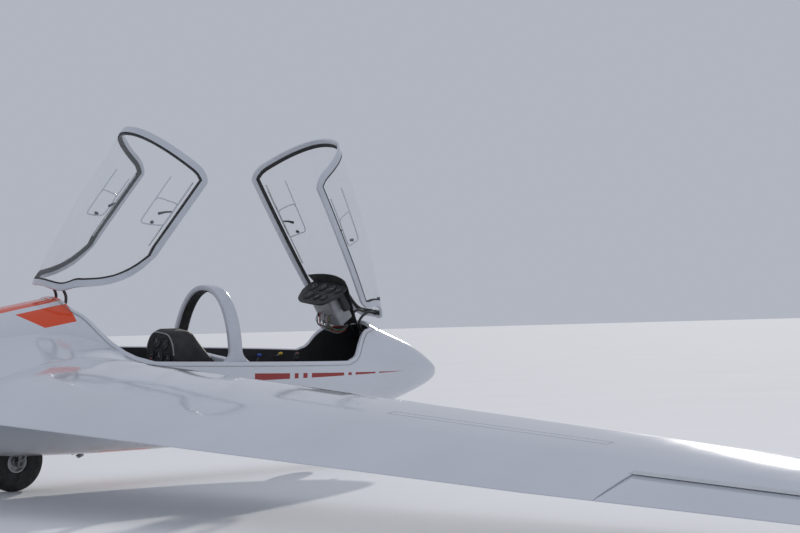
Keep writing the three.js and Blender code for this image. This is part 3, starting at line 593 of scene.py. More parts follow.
def strap(path, across, width, thickness):
    """A flat strap: rounded rectangles across the path; across is its width's direction."""
    path = np.asarray(path, float)
    tangent, _, _ = frames_along(path)
    wide = np.broadcast_to(np.asarray(across, float), path.shape)
    wide = unit(wide - tangent * np.sum(wide * tangent, axis=1, keepdims=True))
    thick = np.cross(tangent, wide)
    a = signed_power(np.cos(full_turn(12)), 0.5)[:, None] * width / 2
    b = signed_power(np.sin(full_turn(12)), 0.7)[:, None] * thickness / 2
    return capped(path[:, None] + a * wide[:, None] + b * thick[:, None])


bend = smooth_line([(0, 0), (1, 0), (1, 1)], 50)
print("a bend's length:", round(float(np.linalg.norm(np.diff(bend, axis=0), axis=1).sum()), 3))


# %% Turned, boxed and flat forms
def wheel_turned(profile, centre, around=64):
    """[radius, y] points turned about the y line through the centre (x, z)."""
    radius, y = np.asarray(profile, float).T
    turn = full_turn(around)[:, None]
    x, z = centre
    return ring_form(xyz(x + radius * np.cos(turn), y, z + radius * np.sin(turn)))


def block(low, high, rounding):
    """A box with rounded edges: x, y and z are sines and cosines of two angles, each raised
    to the rounding with its sign kept, so a small rounding gives sharp edges."""
    low, high = np.asarray(low, float), np.asarray(high, float)
    rise = np.linspace(-math.pi / 2, math.pi / 2, 13)
    ring = rounded_share(full_turn(32), rounding).T
    wide, high_share = rounded_share(rise, rounding)[:, :, None, None]
    grid = np.concatenate([wide * ring, np.broadcast_to(high_share, (13, 32, 1))], axis=-1)
    return capped((low + high) / 2 + grid * (high - low) / 2)


def plate(outline, low, high, axis=1):
    """A flat outline between two levels of the axis: two many-sided faces and a strip."""
    outline = np.asarray(outline, float)
    ends = [np.insert(outline, axis, level, axis=1) for level in (low, high)]
    return capped(np.stack(ends))


def soften(piece, width, segments=3):
    """Rounds a piece's sharp edges with the Bevel modifier."""
    made = piece.modifiers.new("rounded", "BEVEL")
    made.width, made.segments, made.limit_method = width, segments, "ANGLE"
    made.angle_limit = math.radians(40)


print("points of a block:", len(block((0, 0, 0), (1, 1, 1), 0.3)[0]))

# %% [markdown]
# The fuselage is a round-nosed pod that draws in to a slim boom. Eighteen measured stations
# give its top, bottom, half width and the height of its widest point. Each runs smoothly in
# the square root of the distance from the nose, which makes the nose round, and a section is a
# superellipse. A subdivided cage would need its points moved one by one to keep such a shape
# even. One function of the station and the angle round the section is even by itself, and the
# liner, the canopies and the hoop can all ask it for their places.

# %% Fuselage surface
NOSE_X, TAIL_X, HOOP_X = 3.228, -4.728, 1.330
STATIONS = np.array([
    # x, top, bottom, half width, height of the widest point
    (3.228, 0.595, 0.595, 0.000, 0.595), (3.143, 0.684, 0.524, 0.092, 0.597),
    (2.964, 0.787, 0.462, 0.160, 0.600), (2.704, 0.890, 0.387, 0.222, 0.602),
    (2.300, 1.046, 0.312, 0.284, 0.604), (1.880, 1.150, 0.256, 0.330, 0.608),
    (1.330, 1.218, 0.218, 0.356, 0.612), (0.900, 1.222, 0.204, 0.357, 0.612),
    (0.500, 1.188, 0.204, 0.350, 0.610), (0.150, 1.124, 0.212, 0.338, 0.606),
    (-0.200, 1.062, 0.228, 0.318, 0.600), (-0.700, 0.936, 0.262, 0.278, 0.580),
    (-1.200, 0.815, 0.290, 0.236, 0.548), (-1.800, 0.702, 0.304, 0.194, 0.500),
    (-2.600, 0.598, 0.292, 0.152, 0.444), (-3.500, 0.528, 0.268, 0.128, 0.398),
    (-4.200, 0.488, 0.246, 0.110, 0.367), (-4.728, 0.458, 0.222, 0.052, 0.340),
])
POWERS = (2.2, 2.4)     # of the superellipse above and below its widest point


def hermite(t, start, end, leave, arrive):
    """The cubic from start to end as t runs from 0 to 1, with these slopes at its ends."""
    return ((2 * t**3 - 3 * t**2 + 1) * start + (t**3 - 2 * t**2 + t) * leave
            + (3 * t**2 - 2 * t**3) * end + (t**3 - t**2) * arrive)


def curve_through(xs, ys):
    """A monotone cubic: harmonic means of the neighbouring slopes, and none across a turn."""
    slope = np.diff(ys) / np.diff(xs)
    before, after = slope[:-1], slope[1:]
    same = before * after > 0
    inner = np.where(same, 2 * before * after / np.where(same, before + after, 1), 0)
    tangent = np.concatenate([slope[:1], inner, slope[-1:]])

    def curve(x):
        """The cubic of the stretch that x lies on."""
        i = np.clip(np.searchsorted(xs, x) - 1, 0, len(xs) - 2)
        width = xs[i + 1] - xs[i]
        t = np.clip((x - xs[i]) / width, 0, 1)
        return hermite(t, ys[i], ys[i + 1], width * tangent[i], width * tangent[i + 1])

    return curve


def back_root(x):
    """Square root of the distance behind the nose."""
    return np.sqrt(np.maximum(NOSE_X - np.asarray(x, float), 0))


def over_stations(column):
    """One column of the stations as a function of x."""
    curve = curve_through(back_root(STATIONS[:, 0]), column)
    return lambda x: curve(back_root(x))


top_at, bottom_at, half_at, mid_at = (over_stations(column) for column in STATIONS[:, 1:].T)


def hull(x, angle, inset=0.0):
    """A point of the fuselage: y = half |cos|^(2/p) and z = middle + height |sin|^(2/p)."""
    x, angle = np.broadcast_arrays(np.asarray(x, float), np.asarray(angle, float))
    upper = np.sin(angle) >= 0
    power = np.where(upper, *POWERS)
    height = np.where(upper, top_at(x) - mid_at(x), mid_at(x) - bottom_at(x))
    reach = [np.maximum(size - inset, 1e-4) for size in (half_at(x), height)]
    y = reach[0] * signed_power(np.cos(angle), 2 / power)
    z = mid_at(x) + reach[1] * signed_power(np.sin(angle), 2 / power)
    return xyz(x, y, z)


def angle_at(x, z):
    """The angle on the upper half at which the fuselage has height z at station x."""
    share = np.clip((z - mid_at(x)) / (top_at(x) - mid_at(x)), 0, 1)
    return np.arcsin(share ** (POWERS[0] / 2))


def side_at(x, z, inset=0.0):
    """The fuselage's half width at height z."""
    share = np.where(z > mid_at(x), (z - mid_at(x)) / (top_at(x) - inset - mid_at(x)),
                     (mid_at(x) - z) / (mid_at(x) - bottom_at(x) - inset))
    power = np.where(z > mid_at(x), *POWERS)
    return (half_at(x) - inset) * np.clip(1 - np.abs(share) ** power, 0, 1) ** (1 / power)


print("half width and top at the hoop:", *(round(float(f(HOOP_X)), 3) for f in (half_at, top_at)))

# %% [markdown]
# The cockpit's edge runs along the sill and curves up over the decks in front and behind. The
# skin is one grid whose lines are bent to follow that edge: v goes from the belly (0) over the
# sill (1) to the crown (2), and the stations slide with v so that two of them lie on the
# edge's ends. The cells between are left out, and the rim is clean however fine the grid is. A
# knife cut through an even grid would leave long thin faces, which show in a glossy skin.

# %% The cockpit's edge on the skin
REAR_EDGE = smooth_line([(0.22, 1.30), (0.22, 1.118), (0.30, 1.046), (0.38, 0.958), (0.46, 0.890),
                         (0.57, 0.828), (0.72, 0.7873)], 200)[::-1]
FRONT_EDGE = smooth_line([(2.25, 0.7322), (2.318, 0.762), (2.368, 0.842), (2.44, 0.908),
                          (2.56, 0.940), (2.56, 1.10)], 200)
SILL_ENDS = (0.72, 2.25)
SILL_LEVEL, SILL_SLOPE = 0.770, 0.036      # at x = 1.2, and how much it falls with x
WELLS = {
    # rear, front, half width, roof
    "main": (-0.235, 0.235, 0.102, 0.430),
    "nose": (2.15, 2.45, 0.060, 0.425),
}


def sill_height(x):
    """A straight line that falls slightly towards the nose."""
    return SILL_LEVEL - SILL_SLOPE * (np.asarray(x, float) - 1.2)


def sill_angle(x):
    """The sill's angle on the section, carried on unchanged beyond the cockpit's ends."""
    held = np.clip(x, *SILL_ENDS)
    return angle_at(held, sill_height(held))


def edge_station(edge):
    """Station of the edge as a function of v, from the edge's side view."""
    x, z = edge.T
    inside = z < top_at(x)
    angle = angle_at(x, z)
    v = 1 + (angle - sill_angle(x)) / (math.pi / 2 - sill_angle(x))
    v = np.where(inside, v, 2)
    order = np.argsort(v)
    return lambda at: np.interp(at, v[order], x[order])


rear_station, front_station = edge_station(REAR_EDGE), edge_station(FRONT_EDGE)
WELL_V = 0.3
well_half = curve_through(np.array([TAIL_X, -0.6, -0.24, 0.24, 0.9, 1.9, 2.14, 2.46, NOSE_X]),
                          np.array([0.012, 0.08, 0.102, 0.102, 0.09, 0.07, 0.060, 0.060, 0.0]))


def skin_angle(x, v):
    """Angle round the section: from the belly to the well's side, the sill and the crown."""
    half = np.maximum(half_at(x), 1e-5)
    well = -np.arccos(np.clip(well_half(x) / half, 0, 0.9) ** (POWERS[1] / 2))
    sill = sill_angle(x)
    low = -math.pi / 2 + (well + math.pi / 2) * v / WELL_V
    middle = well + (sill - well) * (v - WELL_V) / (1 - WELL_V)
    return np.where(v < WELL_V, low, np.where(v < 1, middle, sill + (math.pi / 2 - sill) * (v - 1)))


def slid(x, v):
    """Stations above the sill slide so that the sill's ends meet the cockpit's edge."""
    rear, front = rear_station(np.maximum(v, 1)), front_station(np.maximum(v, 1))
    low, high = SILL_ENDS
    behind = TAIL_X + (x - TAIL_X) * (rear - TAIL_X) / (low - TAIL_X)
    ahead = NOSE_X - (NOSE_X - x) * (NOSE_X - front) / (NOSE_X - high)
    between = rear + (x - low) * (front - rear) / (high - low)
    return np.where(x < low, behind, np.where(x > high, ahead, between))


def ladder(marks, step):
    """Rising values through all the marks, no further apart than the step."""
    parts = [np.linspace(a, b, max(int(math.ceil((b - a) / step)), 1) + 1)[:-1]
             for a, b in zip(marks[:-1], marks[1:])]
    return np.concatenate([*parts, marks[-1:]])


NOSE_ROUND_X = 3.05     # from here on the stations draw together towards the nose


def fuselage_grid(inset=0.0, low=TAIL_X, high=NOSE_X, step=0.03):
    """Rows run along the stations. Columns run from the left crown over the belly to the
    right crown, where the angle is mirrored, so the normals point outwards."""
    ends = sorted([*SILL_ENDS, *WELLS["main"][:2], *WELLS["nose"][:2]])
    marks = [mark for mark in ends if low < mark < high]
    body = ladder(np.array([low, *marks, min(high, NOSE_ROUND_X)]), step)
    nose = NOSE_X - np.linspace(math.sqrt(NOSE_X - NOSE_ROUND_X), 0, 22)[1:] ** 2
    x = np.concatenate([body, nose[nose <= high]])
    v = np.concatenate([np.linspace(0, WELL_V, 7), np.linspace(WELL_V, 1, 17)[1:],
                        np.linspace(1, 2, 21)[1:]])
    station, level = np.meshgrid(x, v, indexing="ij")
    place = slid(station, level)
    left = hull(place, skin_angle(place, level), inset)
    station, level = (np.concatenate([part[:, ::-1], part[:, 1:]], axis=1)
                      for part in (station, level))
    grid = np.concatenate([left[:, ::-1], left[:, 1:] * [1, -1, 1]], axis=1)
    return grid, station, level


def open_cells(station, level):
    """True for cells of skin: false in the cockpit's opening and the two wheel wells."""
    x = (station[1:, 1:] + station[:-1, :-1]) / 2
    v = (level[1:, 1:] + level[:-1, :-1]) / 2
    hole = (x > SILL_ENDS[0]) & (x < SILL_ENDS[1]) & (v > 1)
    for low, high, *_ in WELLS.values():
        hole |= (x > low) & (x < high) & (v < WELL_V)
    return ~hole


grid, station, level = fuselage_grid()
skin_form = shell(grid, 0.004, open_cells(station, level))
print("skin points:", len(skin_form[0]))

# %% [markdown]
# The wing is an aerofoil carried along the span: its chord, thickness, twist and height change
# with y. Where it meets the body the mould has a soft fillet. A bevel can't make one this wide
# between two curved skins. So the fillet is a cubic curve for each point of the root section,
# which leaves the wing level and lands along the hull.

# %% Wing surface
SPAN, KINK_Y = 17.0, 4.7
ROOT_CHORD, KINK_CHORD, TIP_CHORD = 1.5, 1.05, 0.5
LEADING = (0.543, 0.690)
DIHEDRAL, INCIDENCE, WASHOUT = (math.radians(v) for v in (4.0, 5.8, 1.8))
THICKNESS, CAMBER = (0.196, 0.135), 0.035
AILERON = {"inner": 5.05, "outer": 8.26, "share": 0.785}
AIRBRAKE = {"inner": 3.38, "outer": 4.68, "share": 0.50, "cap": 0.036, "height": 0.118}
TIP_START, TIP_REACH = 8.40, 0.10
CLEAR = 0.005


def chord_at(y):
    """Straight from root to kink and from kink to tip."""
    a = np.abs(y)
    return np.where(a < KINK_Y, ROOT_CHORD + (KINK_CHORD - ROOT_CHORD) * a / KINK_Y,
                    KINK_CHORD + (TIP_CHORD - KINK_CHORD) * (a - KINK_Y) / (SPAN / 2 - KINK_Y))


def wing(y, k, side, scale=1.0, lift=0.0):
    """Chord share k from the leading edge; side 1 is above and -1 below. Half thickness is
    t sqrt(k)(1-k)(1+0.35k)/0.866 and the mean line 4 camber k(1-k), both of the chord."""
    y, k, side, scale = np.broadcast_arrays(*(np.asarray(v, float) for v in (y, k, side, scale)))
    full = chord_at(y)
    chord = full * scale
    share = np.abs(y) / (SPAN / 2)
    twist = INCIDENCE - WASHOUT * share
    thickness = THICKNESS[0] + (THICKNESS[1] - THICKNESS[0]) * share
    along = full * (1 - scale) * 0.35 + chord * k
    half = thickness * chord * np.sqrt(k) * (1 - k) * (1 + 0.35 * k) / 0.866 + 0.0025 * k + lift
    up = chord * 4 * CAMBER * k * (1 - k) + side * half
    z0 = LEADING[1] + np.abs(y) * math.tan(DIHEDRAL)
    return xyz(LEADING[0] - along * np.cos(twist) - up * np.sin(twist), y,
               z0 - along * np.sin(twist) + up * np.cos(twist))


def round_section(marks=(), count=36):
    """Chord shares and sides from the trailing edge over the top to it again; finer in front."""
    k = (1 - np.cos(np.linspace(0, math.pi, count))) / 2
    k = np.unique(np.concatenate([k, marks]))
    return np.concatenate([k[::-1], k[1:]]), np.concatenate([np.ones(len(k)), -np.ones(len(k) - 1)])


print("wing tip's leading edge:", wing(SPAN / 2, 0.0, 1).round(3))


# %% Wing root fillet
FILLET_Y, FILLET_INNER, FILLET_REACH = 0.62, 0.36, 0.10


def root_fairing():
    """P(t) = cubic through the wing section at y = 0.62 (t 0) and the hull (t 1). The landing
    point is the section moved outwards by the fillet's reach, along an ellipse's normal."""
    k, side = round_section()
    t = np.linspace(0, 1, 22)[:, None]
    start = wing(FILLET_Y, k, side)
    normal = xyz(1 - 2 * k, 0, side * 2 * np.sqrt(k * (1 - k)))
    reach = FILLET_REACH * (0.45 + 0.75 * np.sin(math.pi * np.clip(k, 0, 1)) ** 0.5)
    reach = np.where(side > 0, reach, reach * 0.55) + 0.10 * k**6
    inner = wing(FILLET_INNER, k, side)
    land = inner + normal * reach[:, None]
    land[:, 1] = side_at(land[:, 0], land[:, 2]) - 0.002
    ahead = (start - wing(FILLET_Y + 0.02, k, side)) * 5.5
    touch = inner + normal * (reach * 0.35)[:, None]
    touch[:, 1] = side_at(touch[:, 0], touch[:, 2])
    arrive = (land - touch) * 1.5
    curve = hermite(t[:, :, None], start, land, ahead, arrive)
    return capped(np.concatenate([curve, (land - [0, 0.012, 0])[None]]))


fairing = root_fairing()
print("fairing points:", len(fairing[0]))

# %% [markdown]
# The fin is symmetric sections at rising heights with a swept leading edge, moulded in one with
# the boom. Rudder and elevator turn on hinges, so each has a round nose in the hollow rear of
# what carries it. They could be slices of one closed wing section, but their edges wouldn't
# clear it then. So every section is worked out round its own hinge line.

# %% Fin and rudder
FIN = np.array([
    # z, leading edge x, thickness
    (0.430, -3.700, 0.170), (0.500, -3.860, 0.124), (0.560, -3.915, 0.114), (0.700, -3.990, 0.104),
    (1.080, -4.180, 0.088), (1.462, -4.375, 0.076)])
RUDDER_HINGE = np.array([(0.250, -4.770), (1.385, -4.822)])
RUDDER = np.array([
    # z, chord behind the hinge, nose radius
    (0.250, 0.262, 0.034), (0.330, 0.282, 0.034), (0.700, 0.318, 0.034), (1.080, 0.314, 0.031),
    (1.385, 0.300, 0.028)])
RUDDER_FOOT, RUDDER_TOP = RUDDER[0, 0], RUDDER[-1, 0]
RUDDER_NOSE = RUDDER[0, 2]
FIN_SHARE = 0.62        # of the whole section's chord; the rudder has the rest


def aerofoil_half(k):
    """Half thickness over k, 1 at the thickest place."""
    return np.sqrt(k) * (1 - k) * (1 + 0.35 * k) / 0.433 / 2


def hinge_x(z):
    """The rudder's hinge line, carried on above it with its slope."""
    return np.interp(z, *RUDDER_HINGE.T) + (z > RUDDER_TOP) * (z - RUDDER_TOP) * -0.046


def fin_form():
    """Sections from the hollow rear edge round the leading edge and back: the chord share is
    one minus a cosine, so points crowd at the leading edge."""
    z = np.linspace(FIN[0, 0], FIN[-1, 0], 40)[:, None]
    front, thick = (curve_through(FIN[:, 0], FIN[:, c])(z) for c in (1, 2))
    rear = hinge_x(z) + RUDDER_NOSE + CLEAR
    k = FIN_SHARE * (1 - np.cos(np.linspace(0, math.pi / 2, 20)))[None, :]
    half = thick / 2 * np.minimum(aerofoil_half(k) * 2, 1)
    x = front - (front - rear) / FIN_SHARE * k
    left = xyz(x, half, z)
    lip = left[:, -1:] + [[[0.010, -0.006, 0]]]
    ring = np.concatenate([lip, left[:, ::-1], left[:, 1:] * [1, -1, 1], lip * [1, -1, 1]], axis=1)
    return capped(ring)


def nosed_section(hinge, chord, radius, level, edge=0.002):
    """A control surface: a half circle about the hinge, then straight sides to a thin edge."""
    turn = np.linspace(math.pi / 2, -math.pi / 2, 17)
    x = np.concatenate([hinge + radius * np.cos(turn), [hinge - chord * 0.5, hinge - chord,
                                                        hinge - chord, hinge - chord * 0.5]])
    y = np.concatenate([radius * np.sin(turn), [-radius * 0.56, -edge, edge, radius * 0.56]])
    return xyz(x, y, level)


def rudder_form():
    """Nosed sections up the hinge line, and the pin that stands out 11 mm at both ends."""
    z = np.linspace(RUDDER_FOOT, RUDDER_TOP, 36)
    chord, radius = (curve_through(RUDDER[:, 0], RUDDER[:, c])(z) for c in (1, 2))
    rings = [nosed_section(hinge_x(level), c, r, level) for level, c, r in zip(z, chord, radius)]
    pin_ends = [(hinge_x(level), 0, level) for level in (RUDDER_FOOT - 0.011, RUDDER_TOP + 0.011)]
    return merged(capped(np.stack(rings)), bar(pin_ends, 0.006))


print("fin and rudder points:", len(fin_form()[0]), len(rudder_form()[0]))


# %% The tail's horizontal surfaces
TAILPLANE = {"z": 1.505, "half": 1.55, "hinge": -4.842, "chord": 0.505, "tip": 0.320,
             "round": 1.42, "thick": 0.072}


def tail_chord(y):
    """Straight from the middle to the tip."""
    inner, outer = TAILPLANE["chord"], TAILPLANE["tip"]
    return inner + (outer - inner) * np.abs(y) / TAILPLANE["half"]


def tip_scale(y, half, start):
    """A quarter ellipse: 1 inboard of start, falling to a third at the tip."""
    out = np.clip((np.abs(y) - start) / (half - start), 0, 1)
    return 0.3 + 0.7 * np.sqrt(1 - out**2)


def both_spans(inner, round_start, half, count):
    """Widths from tip to tip: even between the inner ones, finer over the round tips."""
    tip = np.linspace(round_start, half, count)
    return np.concatenate([-tip[::-1], np.linspace(-inner, inner, 41), tip])


def tailplane_form():
    """A quarter ellipse to the power 1.1 on the chord ahead of the hinge, above and below."""
    half_span, start, level = TAILPLANE["half"], TAILPLANE["round"], TAILPLANE["z"]
    y = both_spans(1.4, start, half_span, 12)[:, None]
    scale = tip_scale(y, half_span, start)
    half = tail_chord(y) * TAILPLANE["thick"] * scale
    rear = TAILPLANE["hinge"] + tail_chord(y) * TAILPLANE["thick"] + CLEAR
    k = (1 - np.cos(np.linspace(0, math.pi / 2, 20)))[None, :]
    thick = half * np.sqrt(1 - (1 - k) ** 2) ** 1.1
    x = rear + tail_chord(y) * scale * (1 - k)
    upper, lower = (xyz(x, y, level + rise) for rise in (thick, -thick))
    saddle = block((-4.76, -0.03, 1.4623), (-4.44, 0.03, level), 0.3)
    return merged(capped(np.concatenate([upper[:, ::-1], lower[:, 1:]], axis=1)), saddle)


def elevator_form():
    """Nosed sections across the span, 0.43 of the tailplane's chord deep."""
    y = both_spans(1.42, 1.44, 1.54, 8)
    chord = tail_chord(y) * 0.43 * np.where(np.abs(y) > 1.43, tip_scale(y, 1.56, 1.40), 1)
    rings = [nosed_section(TAILPLANE["hinge"], c, tail_chord(at) * TAILPLANE["thick"], at)
             for at, c in zip(y, chord)]
    return capped(np.stack(rings)[..., [0, 2, 1]] + [0, 0, TAILPLANE["z"]])


print("tailplane and elevator points:", len(tailplane_form()[0]), len(elevator_form()[0]))


# %% Hinge lugs and probe
PROBE_Z, PROBE_FOOT = 1.18, -4.1957


def lugs(places, sizes, reach):
    """Small arms from a surface to its hinge line, each with a pin through the moving part."""
    forms = []
    for place, size in zip(places, sizes):
        forms.append(block(place - [0.004, 0.004, 0.005], place + [size + reach, 0.004, 0.005],
                           0.2))
        forms.append(bar([place - [0, 0.0097, 0], place + [0, 0.0097, 0]], 0.004, 12))
    return merged(*forms)


def probe_form():
    """The pressure probe on the fin: a thin tube with its end bent down, and its socket."""
    path = smooth_line([(PROBE_FOOT, 0, PROBE_Z), (-3.9, 0, PROBE_Z), (-3.79, 0, PROBE_Z),
                        (-3.765, 0, PROBE_Z - 0.004), (-3.746, 0, PROBE_Z - 0.022)], 60)
    socket = bar([(PROBE_FOOT, 0, PROBE_Z), (-4.13, 0, PROBE_Z)], 0.0075)
    return merged(bar(path, 0.004, 12), socket)


elevator_lugs = [np.array([TAILPLANE["hinge"], y, TAILPLANE["z"]]) for y in (-1.2, -0.4, 0.4, 1.2)]
tailplane_solid = merged(tailplane_form(), lugs(elevator_lugs, [0.03] * 4, 0.03))
print("elevator hinges:", len(elevator_lugs))


# %% Put the fuselage and tail in place
rudder_bearings = [block((-4.848, -0.02, 1.397), (-4.70, 0.02, 1.462), 0.25),
                   block((-4.794, -0.02, 0.210), (-4.70, 0.02, 0.238), 0.25)]
probe_seat = bar([(-4.256, 0, PROBE_Z), (-4.196, 0, PROBE_Z)], 0.008)
body_form = merged(skin_form, both_sides(fairing), fin_form(), *rudder_bearings, probe_seat)
skin = add("fuselage_skin", body_form, skin_white, slot="gelcoat",
           stands_for=["fuselage_shell"], crease=40)
add("tailplane_surface", tailplane_solid, wing_white, slot="gelcoat", stands_for=["tailplane"])
add("elevator_surface", elevator_form(), wing_white, "elevator", "gelcoat", ["elevator"])
add("rudder_surface", rudder_form(), gelcoat("gelcoat_rudder"), "rudder", "gelcoat", ["rudder"])
add("fin_pressure_probe", probe_form(), steel, slot="grey_steel", stands_for=["fin_probe"])
print("skin triangles:", sum(len(f.vertices) - 2 for f in skin.data.polygons))

# %% [markdown]
# Each wing is a closed skin with three places cut out of its grid: nothing is lost between the
# cells because grid lines lie on the edges of the aileron's bay and the airbrake's slot. The
# bay's front wall is hollow, so that the aileron's round nose turns inside it. Cutting a plain
# wing with boxes would be shorter, but each cut would break the even rows of its faces.


# %% Marks along the span
WING_INNER_Y = 0.4803


def aileron_hinge(y):
    """Hinge point and nose radius at y: the middle of the section at the hinge's share."""
    upper, lower = (wing(y, AILERON["share"], side) for side in (1, -1))
    middle = (upper + lower) / 2
    return middle, np.linalg.norm((upper - lower)[..., [0, 2]], axis=-1) / 2 - 0.001


def wing_span_marks():
    """Widths of the rings, with some on the ends of the slot and of the bay."""
    brake = [AIRBRAKE["inner"] - CLEAR, AIRBRAKE["outer"] + CLEAR]
    bay = [AILERON["inner"] - CLEAR, AILERON["outer"] + CLEAR]
    main = ladder(np.array([WING_INNER_Y, FILLET_Y, *brake, KINK_Y, *bay, TIP_START]), 0.12)
    tip = TIP_START + TIP_REACH * np.sin(np.linspace(0, math.pi / 2, 9)[1:])
    return np.concatenate([main, tip]), brake, bay


print("rings along a wing:", len(wing_span_marks()[0]))


# %% Bay and slot
def bay_wall(y):
    """The bay's hollow front: a half circle about the hinge, 5 mm clear of the aileron."""
    middle, radius = aileron_hinge(y)
    turn = np.linspace(math.pi / 2, -math.pi / 2, 13)
    reach = (radius + CLEAR)[:, None]
    upper, lower = (wing(y, AILERON["share"], side)[:, None] for side in (1, -1))
    arc = xyz(middle[:, 0, None] + reach * np.cos(turn), y[:, None],
              middle[:, 2, None] + (reach - 0.001) * np.sin(turn) * 0.93)
    wall = np.concatenate([upper, arc[:, 1:-1], lower], axis=1)
    ends = []
    for row in (0, -1):
        tail = np.stack([wing(y[row], k, side) for side, k in
                         ((-1, 0.9), (-1, 1.0), (1, 1.0), (1, 0.9))])
        ring = np.concatenate([wall[row], tail])
        ends.append((ring, [np.arange(len(ring))[None]]))
    return merged((wall.reshape(-1, 3), [faces_of(*wall.shape[:2])]), *ends)


def slot_walls(y, brake, low, high):
    """The airbrake's slot: four walls and a floor under the upper surface."""
    rows = (y >= brake[0]) & (y <= brake[1])
    y, low, high = y[rows], low[rows], high[rows]
    front, rear = wing(y, low, 1), wing(y, high, 1)
    deep = AIRBRAKE["height"] + 0.0055
    floor = np.array([0, 0, 1]) * (wing(y, AIRBRAKE["share"], 1)[:, 2] - deep)[:, None]
    grid = np.stack([front, front * [1, 1, 0] + floor, rear * [1, 1, 0] + floor, rear], axis=1)
    ends = (np.concatenate([grid[0], grid[-1]]), [np.array([[0, 1, 2, 3], [7, 6, 5, 4]])])
    return merged((grid.reshape(-1, 3), [faces_of(*grid.shape[:2])]), ends)


print("aileron's nose radius, inner end:", round(float(aileron_hinge(AILERON["inner"])[1]), 4))


# %% Wing skin
def wing_form():
    """Rings of chord shares; the slot's and bay's shares depend on y, so k is bent between
    the marks by straight-line interpolation before the surface is worked out."""
    y, brake, bay = wing_span_marks()
    beyond = (y - TIP_START) / TIP_REACH
    scale = np.where(beyond > 0, 0.42 + 0.58 * np.sqrt(np.clip(1 - beyond**2, 0, 1)), 1)
    chord = chord_at(y)
    slot_half = (AIRBRAKE["cap"] / 2 + CLEAR) / chord
    even = np.concatenate([np.linspace(0, 1, 14)[:-1], np.linspace(1, 2, 3)[:-1],
                           np.linspace(2, 3, 9)[:-1], np.linspace(3, 4, 7)])
    lead = (1 - np.cos(np.clip(even, 0, 1) * math.pi / 2))
    low, high = ((AIRBRAKE["share"] + side * slot_half)[:, None] for side in (-1, 1))
    rear = AILERON["share"]
    k = np.select([even <= 1, even <= 2, even <= 3],
                  [lead * low, low + (high - low) * (even - 1), high + (rear - high) * (even - 2)],
                  rear + (1 - rear) * (even - 3))
    k_ring = np.concatenate([k[:, ::-1], k[:, 1:]], axis=1)
    side = np.concatenate([np.ones(len(even)), -np.ones(len(even) - 1)])
    points = wing(y[:, None], k_ring, side, scale[:, None])
    zone = np.concatenate([even[::-1], even[1:]])
    mid_zone = (zone[1:] + zone[:-1]) / 2
    mid_y = (y[1:] + y[:-1])[:, None] / 2
    upper = np.arange(len(mid_zone)) < len(even) - 1
    hole = (mid_y > brake[0]) & (mid_y < brake[1]) & (mid_zone > 1) & (mid_zone < 2) & upper
    hole |= (mid_y > bay[0]) & (mid_y < bay[1]) & (mid_zone > 3)
    cells = faces_of(*points.shape[:2])[~hole.reshape(-1)]
    rows, count = points.shape[:2]
    ends = [np.arange(count)[None, ::-1], ((rows - 1) * count + np.arange(count))[None]]
    first = np.arange(rows - 1) * count
    edge = np.stack([first, first + count, first + 2 * count - 1, first + count - 1], axis=1)
    edge = edge[~((mid_y[:, 0] > bay[0]) & (mid_y[:, 0] < bay[1]))]
    skin = (points.reshape(-1, 3), [cells, *ends, edge])
    walls = slot_walls(y, brake, low[:, 0], high[:, 0])
    return merged(skin, bay_wall(y[(y >= bay[0]) & (y <= bay[1])]), walls)


wing_lug_pins = [aileron_hinge(np.array(y)) for y in (5.30, 6.65, 8.00)]
wing_lugs = lugs([p for p, _ in wing_lug_pins], [r for _, r in wing_lug_pins], 0.03)
wing_solid = merged(wing_form(), wing_lugs)
print("wing points:", len(wing_solid[0]))


# %% Aileron, airbrake, skid and gap tape
def aileron_form():
    """A round nose and two nearly flat faces. The nose is 1.8 mm lower than the skin, because
    the face behind it rises past the skin's edge when the aileron turns up."""
    y = np.linspace(AILERON["inner"], AILERON["outer"], 60)
    middle, radius = aileron_hinge(y)
    radius = radius - 0.0018
    turn = np.linspace(math.pi / 2, -math.pi / 2, 15)
    nose = xyz(middle[:, 0, None] + radius[:, None] * np.cos(turn), y[:, None],
               middle[:, 2, None] + radius[:, None] * np.sin(turn))
    edge = np.stack([wing(y, 1.0, side) for side in (-1, 1)], axis=1)
    half = [(nose[:, end] + edge[:, row]) / 2 for end, row in ((-1, 0), (0, 1))]
    rings = np.concatenate([nose, half[0][:, None], edge, half[1][:, None]], axis=1)
    return capped(rings)


def airbrake_form():
    """The blade and its cap, whose top follows the wing."""
    y = np.linspace(AIRBRAKE["inner"], AIRBRAKE["outer"], 30)
    half = AIRBRAKE["cap"] / 2 / chord_at(y)
    k = AIRBRAKE["share"] + half[:, None] * np.linspace(-1, 1, 7)
    cap_top = wing(y[:, None], k, 1)
    cap_low = cap_top[:, ::-1] - [0, 0, 0.010]
    middle = wing(y, AIRBRAKE["share"], 1)
    blade = np.stack([middle + [dx, 0, dz] for dx, dz in
                      ((0.007, -0.005), (0.007, -0.1215), (-0.007, -0.1215), (-0.007, -0.005))], 1)
    return merged(capped(np.concatenate([cap_top, cap_low], axis=1)), capped(blade))


SKID_Y = 8.38


def skid_form():
    """The tip skid: a rounded keel under the wing, its section an ellipse that shrinks to
    both ends."""
    place = wing(SKID_Y, 0.45, -1)
    t = np.linspace(0, 1, 25)
    x = place[0] + 0.130 - 0.270 * t
    depth = np.interp(t, [0, 0.10, 0.26, 0.70, 0.90, 1], [0.0, 0.014, 0.030, 0.030, 0.014, 0.0])
    turn = np.linspace(0, math.pi, 13)
    height = place[2] + 0.012 - (depth[:, None] + 0.012) * np.sin(turn) ** 0.6
    return capped(xyz(x[:, None], SKID_Y + 0.011 * np.cos(turn), height))


